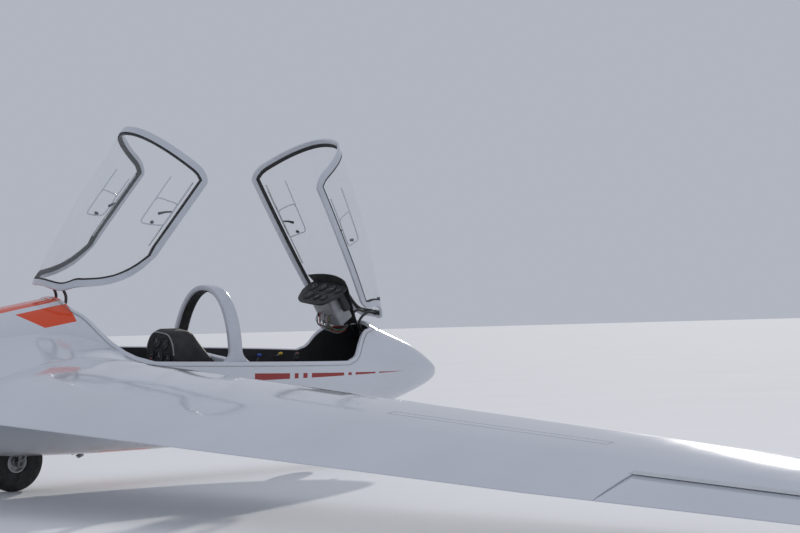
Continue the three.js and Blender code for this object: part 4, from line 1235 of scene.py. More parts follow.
def hinge_tape():
    """A pale tape over the front of the aileron's gap: it lies on the upper surface."""
    y = np.linspace(AILERON["inner"] - 0.02, AILERON["outer"] + 0.02, 60)[:, None]
    k = AILERON["share"] + (np.linspace(-0.030, -0.001, 5) / chord_at(y))
    return shell(wing(y, k, 1, lift=0.0006)[:, ::-1], 0.0012)


print("aileron and airbrake points:", len(aileron_form()[0]), len(airbrake_form()[0]))


# %% Put the wings in place
for hand, turn in (("left", lambda form: form), ("right", mirrored)):
    add(f"wing_surface_{hand}", turn(wing_solid), wing_white, slot="gelcoat",
        stands_for=[f"wing_{hand}"], crease=30)
    add(f"aileron_surface_{hand}", turn(aileron_form()), wing_white, f"aileron_{hand}", "gelcoat",
        [f"aileron_{hand}"], crease=30)
    add(f"airbrake_blade_{hand}", turn(airbrake_form()), wing_white, f"airbrake_{hand}", "gelcoat",
        [f"airbrake_{hand}"], crease=30)
    add(f"tip_keel_{hand}", turn(skid_form()), black_plastic, slot="skid",
        stands_for=[f"tip_skid_{hand}"])
    add(f"aileron_tape_{hand}", turn(hinge_tape()), seal_pale)

# %% [markdown]
# The skin's cut edge is 22 mm thick. A rim strip closes it all round the cockpit and a grey
# seal line runs 26 mm below it, where the closed canopies' skirts rest. A bevel on the skin's
# edge would pinch at the corners of the arches. Both are profiles carried along one closed loop
# instead: the rear arch, the sills and the front arch.

# %% The loop round the cockpit
WALL = 0.022
OPENING_MIDDLE = np.array([1.4, 0, 1.1])


def edge_loop(count=90):
    """Stations and levels of the right half from the rear crown to the front one."""
    up = np.linspace(2, 1, count)
    sill = np.linspace(*SILL_ENDS, count)[1:-1]
    x = np.concatenate([rear_station(up), sill, front_station(up[::-1])])
    v = np.concatenate([up, np.ones(count - 2), up[::-1]])
    return x, v


def loop_points(x, v):
    """The right half and, backwards, its mirror image on the left."""
    left = hull(x, skin_angle(x, v))
    return np.concatenate([left * [1, -1, 1], left[-2:0:-1]])


def hull_normals(points):
    """Gradient of the superellipse: outwards, along |y|^(p-1) and |z|^(p-1)."""
    x, y, z = points[..., 0], points[..., 1], points[..., 2]
    height = np.where(z > mid_at(x), top_at(x) - mid_at(x), mid_at(x) - bottom_at(x))
    share = (z - mid_at(x)) / np.maximum(height, 1e-4)
    power = np.where(share > 0, *POWERS)
    wide = np.maximum(half_at(x), 1e-4)
    ny = np.sign(y) * np.abs(y / wide) ** (power - 1) / wide
    nz = np.sign(share) * np.abs(share) ** (power - 1) / np.maximum(height, 1e-4)
    slope = (half_at(x + 0.01) - half_at(x - 0.01)) / 0.02
    return unit(xyz(-slope * np.hypot(ny, nz) * 0.8, ny, nz))


def along_loop(points, profile):
    """A closed profile of (towards the opening, outwards) offsets carried round a loop."""
    normal = hull_normals(points)
    ahead = unit(np.roll(points, -1, axis=0) - np.roll(points, 1, axis=0))
    inwards = np.cross(ahead, normal)
    inwards *= np.sign(np.sum(inwards * (OPENING_MIDDLE - points), axis=1).mean())
    profile = np.asarray(profile, float)
    grid = (points[:, None] + profile[None, :, :1] * inwards[:, None]
            + profile[None, :, 1:] * normal[:, None])
    return ring_form(grid)


edge = loop_points(*edge_loop())
rim_profile = [(0.0, 0.0), (0.0006, -0.002), (0.0006, -0.021), (-0.002, -0.0235), (-0.030, -0.0235),
               (-0.030, -0.0205), (-0.006, -0.0205), (-0.006, -0.0035), (-0.004, -0.0005)]
add("cockpit_rim", along_loop(edge, rim_profile), skin_white, slot="gelcoat")
seal_profile = [(-0.0275, -0.001), (-0.0275, 0.0012), (-0.0245, 0.0012), (-0.0245, -0.001)]
add("sill_seal_line", along_loop(edge, seal_profile), painted_grey)
print("points round the cockpit's edge:", len(edge))

# %% [markdown]
# Inside, a liner follows the skin 22 mm in; its near-black tone is painted shade for the deep
# cockpit. The skin could be thickened by that much, but then its wheel wells and wing roots would
# thicken too. So the liner is the same surface function with an inset, closed in front by the
# pedal bulkhead and behind by a sloping one. The wheel wells are boxes whose open bottoms follow
# the belly.


# %% Liner and bulkheads
PANEL_INSET = 0.024


def wall_panel(line, inset, thickness, across=17, dish=0.0):
    """A side-view line swept from wall to wall: y = share times the inner half width. The sides
    rise by dish times the share to the fourth power, and less towards both ends."""
    line = np.asarray(line, float)
    share = np.linspace(-1, 1, across)
    reach = side_at(line[:, 0], line[:, 1], inset)
    slope = unit(np.gradient(line, axis=0))
    over = np.stack([-slope[:, 1], slope[:, 0]], axis=1)
    ends = np.sin(np.linspace(0, math.pi, len(line)))[:, None] ** 0.6
    rise = dish * share**4 * ends
    grid = xyz(line[:, :1] + over[:, :1] * rise, share * reach[:, None],
               line[:, 1:] + over[:, 1:] * rise)
    return shell(grid, thickness)


grid, station, level = fuselage_grid(WALL, low=0.06, high=2.98, step=0.04)
liner = shell(grid, 0.003, open_cells(station, level))
BULKHEAD = [(0.345, 0.20), (0.345, 0.50), (0.20, 0.645), (0.065, 0.78), (0.065, 1.0), (0.065, 1.09)]
front_wall = [(2.975, z) for z in np.linspace(0.47, 0.77, 9)]
bulkheads = [wall_panel(line, PANEL_INSET, 0.004) for line in (smooth_line(BULKHEAD, 24),
                                                               front_wall)]
add("cockpit_liner_skin", merged(liner, *bulkheads), liner_painted_shade, slot="liner")
print("liner points:", len(liner[0]))


# %% Wheel wells
def well_box(low, high, half, top):
    """Four walls and a roof; the bottom edge follows the hull at the well's side."""
    x = np.linspace(low, high, 9)
    foot = hull(x, skin_angle(x, np.full(len(x), WELL_V)))[:, 2] + 0.001
    corners = ((-half, foot), (-half, top), (half, top), (half, foot))
    rows = np.stack([xyz(x, y, z) for y, z in corners], axis=1)
    ends = [(rows[row], [np.arange(4)[None]]) for row in (0, -1)]
    return merged((rows.reshape(-1, 3), [faces_of(*rows.shape[:2])]), *ends)


wells = [well_box(*sizes) for sizes in WELLS.values()]
# The wells wear the liner's near-black tone, which is painted shade for the dark wells.
well_piece = add("wheel_well_boxes", merged(*wells), liner_painted_shade, slot="liner")
thick = well_piece.modifiers.new("wall", "SOLIDIFY")
thick.thickness, thick.offset = 0.0025, 1.0
print("wells:", ", ".join(WELLS))

# %% [markdown]
# The roll hoop stands between the seats, just inside the closed canopies. Its section is a
# rounded bar that follows the hull's curve, and at the sill it flares fore and aft into it. A
# curve object with a bevel would keep one section all the way, so the flare asks for a grid.


# %% Roll hoop
HOOP_HALF, HOOP_INSET, HOOP_DEPTH = 0.047, 0.0228, 0.058
FLARE, FLARE_HEIGHT = 0.062, 0.100


def hoop_form():
    """Angle round the hull from foot to foot. The section is a superellipse 23 to 58 mm inside
    the hull. Towards the sill its half width grows by 62 mm times a power of what is left of
    the last 100 mm, and below the sill it goes straight down."""
    turn = np.linspace(0.12, math.pi - 0.12, 121)
    wide, deep = rounded_share(full_turn(32), 0.42)
    height = hull(HOOP_X, turn)[:, 2]
    near = np.clip(1 - (height - sill_height(HOOP_X)) / FLARE_HEIGHT, 0, 1)
    half = HOOP_HALF + FLARE * near**3.2
    middle, thick = (HOOP_INSET + HOOP_DEPTH) / 2, (HOOP_DEPTH - HOOP_INSET) / 2
    x = HOOP_X + half[:, None] * wide
    return capped(hull(x, turn[:, None], middle - thick * deep))


crossbar = block((1.296, -0.325, 0.700), (1.364, 0.325, 0.770), 0.25)
add("roll_hoop_band", merged(hoop_form(), crossbar), frame_white, slot="gelcoat",
    stands_for=["roll_hoop"])


def hoop_lining():
    """The dark padding on the hoop's inner face."""
    turn = np.linspace(0.46, math.pi - 0.46, 60)[:, None]
    x = HOOP_X + 0.033 * np.linspace(-1, 1, 7)
    return shell(hull(x, turn, HOOP_DEPTH + 0.0035)[:, ::-1], 0.004)


add("roll_hoop_lining", hoop_lining(), hood_black)
print("hoop's top:", round(float(top_at(HOOP_X)) - HOOP_INSET, 3))

# %% [markdown]
# Each canopy is a blown acrylic bubble bonded into a frame. Closed, it continues the hull, so
# it is the part of the hull surface that the cockpit's edge leaves out: s runs from the hoop to
# the canopy's end and t from the right sill over the crown to the left. The frame keeps the
# border cells of that patch, 40 mm wide, and the glazing keeps the inner ones. Modelled open
# and apart from the hull, a canopy would never shut. It is made closed and swung open after.

# %% Canopy hinges and sizes
def hinge_place(name):
    """A hinge's x and z in the airframe's axes."""
    return (AXES @ (np.array(joints[name]["pos_m"]) - ORIGIN))[[0, 2]]


FRONT_HINGE, REAR_HINGE = hinge_place("front_canopy_hinge"), hinge_place("rear_canopy_hinge")
FRONT_OPEN = -min(joints["front_canopy_hinge"]["range_deg"])
REAR_OPEN = -max(joints["rear_canopy_hinge"]["range_deg"])
FRAME_WIDTH, FRAME_DEPTH = 0.040, 0.016
GASKET_WIDTH = 0.011
HALF_GAP = 0.003    # between the closed canopies, to each side of the hoop's middle
HALF_ARCH, CORNER_RADIUS = 0.560, 0.085    # from the sill to the crown, and at the arch's feet
print("open angles:", FRONT_OPEN, REAR_OPEN)


# %% Canopy patches
def canopy_point(front, s, t):
    """Level 1 + (1 - |2t - 1|) and station between the hoop and the cockpit's edge."""
    v = 2 - np.abs(2 * t - 1)
    hoop = HOOP_X + HALF_GAP if front else HOOP_X - HALF_GAP
    far = front_station(v) if front else rear_station(v)
    corner = np.clip(1 - (v - 1) * HALF_ARCH / CORNER_RADIUS, 0, 1)
    hoop = hoop + np.sign(far - hoop) * CORNER_RADIUS * (1 - np.sqrt(1 - 0.94 * corner**2))
    x = hoop + (far - hoop) * s
    point = hull(x, skin_angle(x, v))
    return point * xyz(1, np.sign(t - 0.5), 1)


def border(front, along, distance, end):
    """Share of the patch that a border of this width takes, square to its edge."""
    small = 0.004
    other = np.clip(along, small, 1 - small)
    start = np.full_like(other, end == "far")

    def at(step, shift):
        """The point a step away from the edge and a shift along it."""
        places = (start + step, other + shift)
        return canopy_point(front, *(places[::-1] if end == "sill" else places))

    move = at(-small if end == "far" else small, 0) - at(0, 0)
    line = at(0, small / 2) - at(0, -small / 2)
    square = np.linalg.norm(np.cross(move, unit(line)), axis=-1)
    length = np.linalg.norm(move, axis=-1)
    return distance * small / np.maximum(square, length * 0.45)


def canopy_grid(front):
    """The patch between its clearances, with grid lines on the edges of frame and gasket. The
    edges' shares depend on each other, so they are worked out three times over."""
    counts_s, counts_t = np.cumsum([0, 3, 1, 34, 1, 3]), np.cumsum([0, 3, 1, 44, 1, 3])
    i = np.arange(counts_s[-1] + 1)[:, None] * np.ones((1, counts_t[-1] + 1))
    j = np.arange(counts_t[-1] + 1)[None, :] * np.ones((counts_s[-1] + 1, 1))
    s0, t0 = i / i.max(), j / j.max()
    for _ in range(3):
        clear = CLEAR + 0.010 * (1 - np.abs(2 * t0 - 1)) ** 2
        widths = [FRAME_WIDTH, FRAME_WIDTH + GASKET_WIDTH]
        near = [border(front, t0, width, "hoop") for width in (0, *widths)]
        far = [border(front, t0, CLEAR + width, "far") for width in widths]
        low = [border(front, s0, CLEAR + width, "sill") for width in (0, *widths)]
        marks_s = np.stack([*near, 1 - far[1], 1 - far[0], 1 - border(front, t0, clear, "far")])
        marks_t = np.stack([*low, *(1 - width for width in low[::-1])])
        s0, t0 = piecewise(i, counts_s, marks_s), piecewise(j, counts_t, marks_t)
    within = [(i >= counts_s[k]) & (i <= counts_s[-1 - k]) & (j >= counts_t[k])
              & (j <= counts_t[-1 - k]) for k in (1, 2)]
    return canopy_point(front, s0, t0), *within


def cells_of(nodes):
    """Cells whose four corners are all marked."""
    return nodes[1:, 1:] & nodes[:-1, 1:] & nodes[1:, :-1] & nodes[:-1, :-1]


def piecewise(index, counts, marks):
    """Straight-line steps between the marks, whose places are the counts."""
    zone = np.clip(np.searchsorted(counts, index, side="right") - 1, 0, len(counts) - 2)
    share = (index - counts[zone]) / (counts[zone + 1] - counts[zone])
    low = np.take_along_axis(marks, zone[None], axis=0)[0]
    high = np.take_along_axis(marks, zone[None] + 1, axis=0)[0]
    return low + (high - low) * share


def canopy_forms(front):
    """Frame: border cells, 16 mm deep. A black gasket holds the glazing in it, and a lip of it
    covers the frame's inner edge. Glazing: the inner cells, 4 mm down and 4 mm thick."""
    grid, *within = canopy_grid(front)
    normal = hull_normals(grid)
    inner, pane = (cells_of(nodes) for nodes in within)
    frame_form = shell(grid, FRAME_DEPTH, ~inner, normals=normal)
    spread = np.pad(inner, 1)
    beside = sum(np.roll(np.roll(spread, a, 0), b, 1) for a in (-1, 0, 1) for b in (-1, 0, 1))
    lip = (beside[1:-1, 1:-1] > 0) & ~inner
    gasket = merged(shell(grid, FRAME_DEPTH + 0.001, inner & ~pane, offset=-0.002, normals=normal),
                    shell(grid, 0.003, lip, offset=-FRAME_DEPTH, normals=normal))
    glass = shell(grid, 0.004, pane, offset=-0.004, normals=normal)
    return frame_form, gasket, glass


print("points of a canopy's grid:", canopy_grid(True)[0].shape[:2])


# %% Canopies in place
FRONT_ARM = [FRONT_HINGE, (2.600, 0.790), (2.482, 0.790), (2.466, 0.880), (2.530, 0.944)]
REAR_ARM = [REAR_HINGE, (0.132, 0.998), (0.198, 0.950), (0.264, 0.980), (0.288, 1.060),
            (0.248, 1.130)]


def arm_forms(route, hinge, y):
    """A gooseneck from the hinge pin round the deck's edge to the frame, with its eye."""
    path = smooth_line([(x, y, z) for x, z in route], 60)
    return merged(bar(path[:-3], 0.009), cross_bar(*hinge, y - 0.014, y + 0.014, 0.015, 24))


def front_swing(points):
    """Points of the closed front canopy, opened."""
    return swung(points, FRONT_HINGE, FRONT_OPEN)


def rear_swing(points):
    """Points of the closed rear canopy, opened."""
    return swung(points, REAR_HINGE, REAR_OPEN)


CANOPIES = {"front": (True, front_swing, FRONT_ARM, FRONT_HINGE),
            "rear": (False, rear_swing, REAR_ARM, REAR_HINGE)}
for name, (front, swing, arm, hinge) in CANOPIES.items():
    frame_form, seal, glass = canopy_forms(front)
    arms = [arm_forms(arm, hinge, y) for y in (-0.055, 0.055)]
    add(f"{name}_canopy_frame_band", frame_form, frame_white, f"{name}_canopy",
        "gelcoat", [f"{name}_canopy_frame"], place=swing)
    add(f"{name}_canopy_arms", merged(*arms), painted_black, f"{name}_canopy", "gelcoat",
        place=swing)
    add(f"{name}_canopy_seal", seal, seal_black, f"{name}_canopy", place=swing)
    add(f"{name}_canopy_bubble", glass, acrylic, f"{name}_canopy", "glazing",
        [f"{name}_canopy_glazing"], place=swing)
    print(name, "canopy's glass points:", len(glass[0]))


# %% Canopy pins under the decks
def ear_forms(hinge):
    """Two ears a side hold each pin; they hang from the deck."""
    x, z = hinge
    top = float(top_at(x)) - 0.012
    forms = []
    for side in (-1, 1):
        inner, outer = side * 0.034, side * 0.076
        for y in (inner, outer):
            forms.append(block((x - 0.02, y - 0.005, z - 0.02), (x + 0.02, y + 0.005, top), 0.2))
        forms.append(cross_bar(x, z, inner, outer, 0.006, 12))
    return merged(*forms)


add("canopy_hinge_ears", merged(ear_forms(FRONT_HINGE), ear_forms(REAR_HINGE)), steel)
print("hinges at", FRONT_HINGE.round(3), REAR_HINGE.round(3))

# %% [markdown]
# The main wheel is a small aircraft tyre on an alloy rim with a drum brake; the nose and tail
# wheels are smaller. A tyre's section is turned round the axle, and its ribs are part of the
# section, because a bump map would leave the tyre's outline smooth. The gear's struts run from
# the axle up into the well.

# %% Wheels
WHEELS = {
    # centre x, z, radius, width, rim radius, axle radius
    "main": (0.0, 0.180, 0.180, 0.125, 0.063, 0.016),
    "nose": (2.300, 0.270, 0.130, 0.085, 0.050, 0.009),
    "tail": (-4.630, 0.100, 0.100, 0.055, 0.042, 0.008),
}


def tyre_section(radius, width, rim, grooves):
    """Half widths at rising radii, smoothed, then the crown with shallow grooves in it."""
    half = width / 2
    side = smooth_line([(rim + 0.0004, half * 0.70), (rim + 0.008, half * 0.86),
                        ((radius + rim) / 2, half), (radius * 0.92, half * 0.77),
                        (radius * 0.980, half * 0.35)], 26)
    y = np.linspace(half * 0.33, -half * 0.33, 41)[1:-1]
    crown = radius - (radius * 0.020) * (y / (half * 0.35)) ** 2
    groove = np.zeros_like(y)
    for centre in grooves:
        groove += np.exp(-(((y - centre * half) / 0.0022) ** 4))
    mid = np.stack([crown - 0.0028 * groove, y], axis=1)
    return np.concatenate([side, mid, side[::-1] * [1, -1]])


RIM_SHARE = 0.36        # the rim's half width, of the tyre's width


def rim_section(width, rim, axle):
    """Radius and y from the hub over the disc to the bead seat, then mirrored."""
    half, hub = width * RIM_SHARE, width * 0.44
    side = np.array([
        (axle + 0.0003, -hub), (axle + 0.012, -hub), (axle + 0.014, -hub + 0.002),
        (axle + 0.014, -half * 0.5), (rim - 0.014, -half * 0.42), (rim - 0.010, -half * 0.6),
        (rim - 0.007, -half), (rim - 0.001, -half), (rim, -half + 0.001)])
    return np.concatenate([side, side[::-1] * [1, -1]])


def rim_bolts(x, z, ring, half, size):
    """A circle of six bolt heads on both faces of the rim."""
    return merged(*(cross_bar(x + ring * math.cos(turn), z + ring * math.sin(turn), -half, half,
                              size, 6) for turn in full_turn(6)))


for name, (x, z, radius, width, rim, axle) in WHEELS.items():
    grooves = (-0.2, 0.0, 0.2) if name == "main" else (-0.18, 0.18)
    add(f"{name}_tyre_ribbed", wheel_turned(tyre_section(radius, width, rim, grooves), (x, z), 96),
        rubber, f"{name}_wheel", "tyre", [f"{name}_tyre"], crease=50)
    half = width * RIM_SHARE
    bolts = rim_bolts(x, z, (rim + axle) / 2 + 0.004, half * 0.5 + 0.005,
                      0.0045 if name == "main" else 0.003)
    valve = cross_bar(x + rim - 0.012, z, 0, half + 0.004, 0.003, 8)
    rim_form = merged(wheel_turned(rim_section(width, rim, axle), (x, z)), bolts, valve)
    add(f"{name}_rim_turned", rim_form, alloy, f"{name}_wheel", "alloy", [f"{name}_rim"])
    print(name, "wheel's radius:", radius)


# %% Gear frames
def main_gear():
    """The axle, four struts up to the well's roof and a collar at each side."""
    x, z, _, _, _, axle = WHEELS["main"]
    half, top = 0.094, WELLS["main"][3] - 0.0003
    forms = [cross_bar(x, z, -half, half, axle, 24)]
    for side in (-1, 1):
        y = side * (half - 0.014)
        for head in (x + 0.185, x - 0.060):
            forms.append(bar([(x, y, z), (head, y, top)], 0.010))
        forms.append(cross_bar(x, z, side * (half - 0.028), side * half, 0.026, 24))
    return merged(*forms)


def fork(name, half, cheek, low, high, top):
    """Two cheek plates that widen upwards, and the axle through them."""
    x, z, _, _, _, axle = WHEELS[name]
    forms = [cross_bar(x, z, -half, half, axle, 20),
             cross_bar(x, z, -half - 0.001, half + 0.001, axle + 0.004, 6)]
    for side in (-1, 1):
        y = sorted((side * half, side * (half - cheek)))
        turn = np.linspace(math.pi, 2 * math.pi, 13)
        foot = np.stack([x + low * np.cos(turn), z + low * np.sin(turn)], axis=1)
        outline = np.concatenate([foot, [(x + high, top), (x - high, top)]])
        forms.append(plate(outline, *y))
    return merged(*forms)


soften(add("main_gear_struts", main_gear(), steel, slot="grey_steel",
           stands_for=["main_gear_frame"]), 0.0008, 1)
nose_fork = fork("nose", 0.054, 0.006, 0.018, 0.034, 0.4247)
tail_fork = merged(fork("tail", 0.038, 0.005, 0.016, 0.046, 0.226),
                   block((-4.680, -0.038, 0.208), (-4.580, 0.038, 0.236), 0.2))
for name, form in (("nose", nose_fork), ("tail", tail_fork)):
    soften(add(f"{name}_fork_plates", form, steel, slot="grey_steel",
               stands_for=[f"{name}_gear_fork"]), 0.001, 2)
    print(name, "fork's points:", len(form[0]))

# %% Tow hooks
for name, x, z in (("belly", 0.430, 0.196), ("nose", 2.760, 0.402)):
    outline = [(x + 0.040, z + 0.012), (x + 0.040, z - 0.014), (x + 0.008, z - 0.026),
               (x - 0.002, z - 0.012), (x + 0.014, z - 0.006), (x + 0.010, z + 0.002),
               (x - 0.040, z - 0.004), (x - 0.040, z + 0.012)]
    soften(add(f"{name}_hook_plate", plate(outline, -0.012, 0.012), steel, slot="grey_steel",
               stands_for=[f"{name}_tow_hook"]), 0.0015, 2)
    print(name, "hook at", x, z)

# %% [markdown]
# Each seat is one moulded pan from wall to wall. Its side view is a line through six points,
# and its sides rise towards the walls with the fourth power of the distance from the middle. A
# sculpted pan would have softer folds, but it wouldn't end on the wall by itself as this does.

# %% Seat pans
FRONT_PAN = smooth_line([(1.395, 0.760), (1.450, 0.560), (1.530, 0.400), (1.640, 0.345),
                         (1.800, 0.352), (2.030, 0.425)], 60)
REAR_PAN = smooth_line([(0.362, 0.900), (0.440, 0.700), (0.530, 0.520), (0.640, 0.445),
                        (0.800, 0.440), (1.060, 0.500)], 60)
PANS = {"front": (FRONT_PAN, 0.170), "rear": (REAR_PAN, 0.190)}
for name, (line, _) in PANS.items():
    add(f"{name}_seat_bucket", wall_panel(line, 0.0245, 0.005, 41, dish=0.070), pan_grey,
        slot="liner", stands_for=[f"{name}_seat_pan"])
    print(name, "seat at", line[35].round(3))


def over_pan(line, share, y, lift):
    """Points over a pan: share runs from its top to its front, lift is square to the line."""
    along = np.linspace(0, 1, len(line))
    slope = unit(np.gradient(line, axis=0))
    x, z, sx, sz = (np.interp(share, along, v) for v in (*line.T, *slope.T))
    return xyz(x - sz * lift, y, z + sx * lift)


# %% [markdown]
# Cushions are sewn covers over foam. Each starts as a flat pad over its pan, two sheets that
# share their edge, and cloth with a little pressure blows it up: a subdivided box would bulge
# evenly and look like plastic. No point moves further than the cap. The sewn channels are
# pressed in afterwards, and a cord is stitched round the edge.


# %% Pads, blown up and pressed
def pad_grid(line, shares, half, thickness):
    """Both sheets of a pad as one grid: over the top from edge to edge, and back below. They
    part by a power-8 superellipse of the two ways across, and the corners draw in."""
    along = np.linspace(-1, 1, 34)[:, None]
    across = np.linspace(-1, 1, 26)
    round_trip = np.concatenate([across, across[-2:0:-1]])[None, :]
    upper = np.concatenate([np.ones(26), -np.ones(24)])[None, :]
    edge = np.sqrt(np.clip((1 - along**8) * (1 - round_trip**8), 0, 1))
    pull = 1 - 0.030 * (1 - along**2) * round_trip**8
    narrow = 1 - 0.10 * np.clip(np.abs(along) - 0.55, 0, 1) ** 1.5
    share = shares[0] + (shares[1] - shares[0]) * (along + 1) / 2
    lift = thickness / 2 * (1 + 0.80 * upper * edge) + 0.0015
    return over_pan(line, share, half * round_trip * pull * narrow, lift)


def read_points(mesh, what="co"):
    """Places, or normals, of all points of a mesh."""
    values = np.empty(len(mesh.vertices) * 3)
    mesh.vertices.foreach_get(what, values)
    return values.reshape(-1, 3)


def write_points(mesh, points):
    """Puts all points of a mesh in these places."""
    mesh.vertices.foreach_set("co", points.ravel())
    mesh.update()


def blown(piece, cap, pressure=4.0, frames=20):
    """Cloth with pressure and no gravity; then each point's way is cut to the cap."""
    start = read_points(piece.data)
    cloth = piece.modifiers.new("cloth", "CLOTH")
    cloth.settings.use_pressure = True
    cloth.settings.uniform_pressure_force = pressure
    cloth.settings.effector_weights.gravity = 0
    for number in range(1, frames + 1):
        bpy.context.scene.frame_set(number)
    move = read_points(piece.evaluated_get(bpy.context.evaluated_depsgraph_get()).data) - start
    piece.modifiers.remove(cloth)
    bpy.context.scene.frame_set(1)
    length = np.linalg.norm(move, axis=1, keepdims=True)
    write_points(piece.data, start + move * np.minimum(1, cap / np.maximum(length, 1e-9)))
    return float(length.max())


def channelled(piece, line, lines, depth, width):
    """Presses grooves into the upper sheet where the pad's length is at one of the shares: each
    is a bell curve of the share, as deep as the face looks up."""
    points, normals = read_points(piece.data), read_points(piece.data, "normal")
    place = (points - ORIGIN) @ AXES.T
    gap = np.linalg.norm(place[:, None, [0, 2]] - line[None], axis=2)
    share = gap.argmin(axis=1) / (len(line) - 1)
    press = np.exp(-(((share[:, None] - lines) / width) ** 2)).sum(axis=1)
    facing = np.clip(normals @ UPWARDS, 0, 1)
    write_points(piece.data, points - normals * (press * facing * depth)[:, None])


print("cushions are blown up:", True)


# %% Cushions
def cushion(name, line, shares, half, thickness, grooves, stands_for=()):
    """A blown pad over a pan between two shares of its line, with grooves and piping."""
    grid = pad_grid(line, shares, half, thickness)
    rows, columns = grid.shape[:2]
    form = grid.reshape(-1, 3), [faces_of(rows, columns, wrap=True)]
    piece = add(name, form, seat_cloth, slot="cloth", stands_for=stands_for, crease=80)
    grown = blown(piece, 0.006)
    channelled(piece, resampled(line, 400), np.array(grooves), 0.0045, 0.008)
    smooth = piece.modifiers.new("smooth", "SUBSURF")
    smooth.levels = smooth.render_levels = 1
    edge = grid[:, 0], grid[::-1, columns // 2]
    loop = resampled(np.concatenate([*edge, edge[0][:1]]), 140)[:-1]
    add(name + "_piping", closed_tube(loop, 0.003), webbing, slot="cloth")
    print(name, "grew by", round(grown * 1000, 1), "mm")


cushion("front_seat_pad", FRONT_PAN, (0.47, 0.985), 0.166, 0.036, (0.60, 0.72, 0.85),
        ["front_seat_cushion"])
cushion("rear_seat_pad", REAR_PAN, (0.47, 0.985), 0.186, 0.036, (0.60, 0.72, 0.85),
        ["rear_seat_cushion"])
cushion("front_back_pad", FRONT_PAN, (0.035, 0.34), 0.156, 0.028, (0.13, 0.23))
cushion("rear_back_pad", REAR_PAN, (0.035, 0.35), 0.176, 0.028, (0.13, 0.23))

# %% [markdown]
# A four-point harness lies over each seat: two shoulder straps and two lap straps that meet in
# a round buckle. Cloth strips could be dropped on the seats, but where they come to rest is
# hard to steer. A strap here is a flat rounded rectangle carried along its path over the pads.


# %% Harness
def harness(name, line, half):
    """Each strap's path is a share of the pan's line, a distance from the middle and a lift."""
    forms, plates = [], []
    knots = np.array([0.0, 0.12, 0.28, 0.42, 0.52, 0.60])
    lift = np.array([0.012, 0.041, 0.044, 0.058, 0.066, 0.062])
    ahead = over_pan(line, 0.58, 0, 0) - over_pan(line, 0.52, 0, 0)
    for side in (-1, 1):
        y = side * np.array([0.075, 0.085, 0.080, 0.062, 0.035, 0.020])
        share = np.linspace(0, 0.60, 50)
        path = over_pan(line, share, np.interp(share, knots, y), np.interp(share, knots, lift))
        forms.append(strap(resampled(path, 60), (0, 1, 0), 0.045, 0.0022))
        y = side * np.array([half + 0.040, half + 0.012, half * 0.80, half * 0.45, 0.020])
        share = np.array([0.500, 0.510, 0.545, 0.590, 0.610])
        rise = np.array([0.006, 0.030, 0.051, 0.056, 0.062])
        path = smooth_line(over_pan(line, share, y, rise), 40)
        forms.append(strap(path, ahead, 0.045, 0.0022))
        adjuster = over_pan(line, np.array([0.215, 0.245]), side * 0.083, 0.050)
        plates.append(strap(adjuster, (0, 1, 0), 0.056, 0.008))
    centre = over_pan(line, 0.612, 0.0, 0.070)
    out = over_pan(line, 0.612, 0.0, 0.080) - centre
    discs = [(0.0, 0.030), (0.4, 0.034), (1.2, 0.034), (1.5, 0.026), (1.5, 0.012), (1.9, 0.010)]
    path = np.array([centre + out * rise for rise, _ in discs])
    path += np.arange(len(path))[:, None] * out * 1e-4
    plates.append(bar(path, [radius for _, radius in discs], 28))
    add(f"{name}_harness", merged(*forms), webbing, slot="cloth", crease=60)
    add(f"{name}_harness_buckles", merged(*plates), alloy, slot="alloy")
    print(name, "harness straps:", len(forms))


for name, (line, half) in PANS.items():
    harness(name, line, half)

# %% [markdown]
# Both pilots have a stick, a pair of pedals and, along the left wall, levers on a rail: blue for
# the airbrakes, green for the trim and yellow for the tow release. They could be boxes and
# cylinders from the menu. Bars along curves are used, because real ones are bent tubes.


# %% Sticks
def stick(name, knots):
    """A tube with a rubber gaiter at its foot and a moulded grip with finger waves."""
    path = smooth_line([(x, 0, z) for x, z in knots], 60)
    grip = path[-14:]
    share = np.linspace(0, 1, len(grip))
    waves = 0.0155 + 0.0022 * np.cos(share * 6 * math.pi) + 0.004 * np.sin(share * math.pi)
    waves[-1] = 0.009
    foot = [path[0] + [0, 0, rise] for rise in np.linspace(0.002, 0.085, 22)]
    folds = np.linspace(0.046, 0.016, 22) + 0.004 * np.cos(np.linspace(0, 8 * math.pi, 22))
    button = bar([grip[-1], grip[-1] + (grip[-1] - grip[-2]) * 0.5], 0.006, 14)
    tube = bar(path[:-12], 0.011, 20)
    add(f"{name}_stick_grip", merged(bar(grip, waves, 24), bar(foot, folds, 28)), black_plastic,
        slot="black_plastic", stands_for=[f"{name}_control_stick"])
    add(f"{name}_stick_tube", tube, painted_grey, slot="black_plastic")
    add(f"{name}_stick_button", button, red_knob, slot="black_plastic")
    print(name, "stick's top:", path[-1].round(3))


stick("front", [(2.085, 0.292), (2.085, 0.480), (2.050, 0.640), (2.040, 0.750)])
stick("rear", [(1.118, 0.222), (1.106, 0.520), (0.962, 0.640), (0.922, 0.750)])


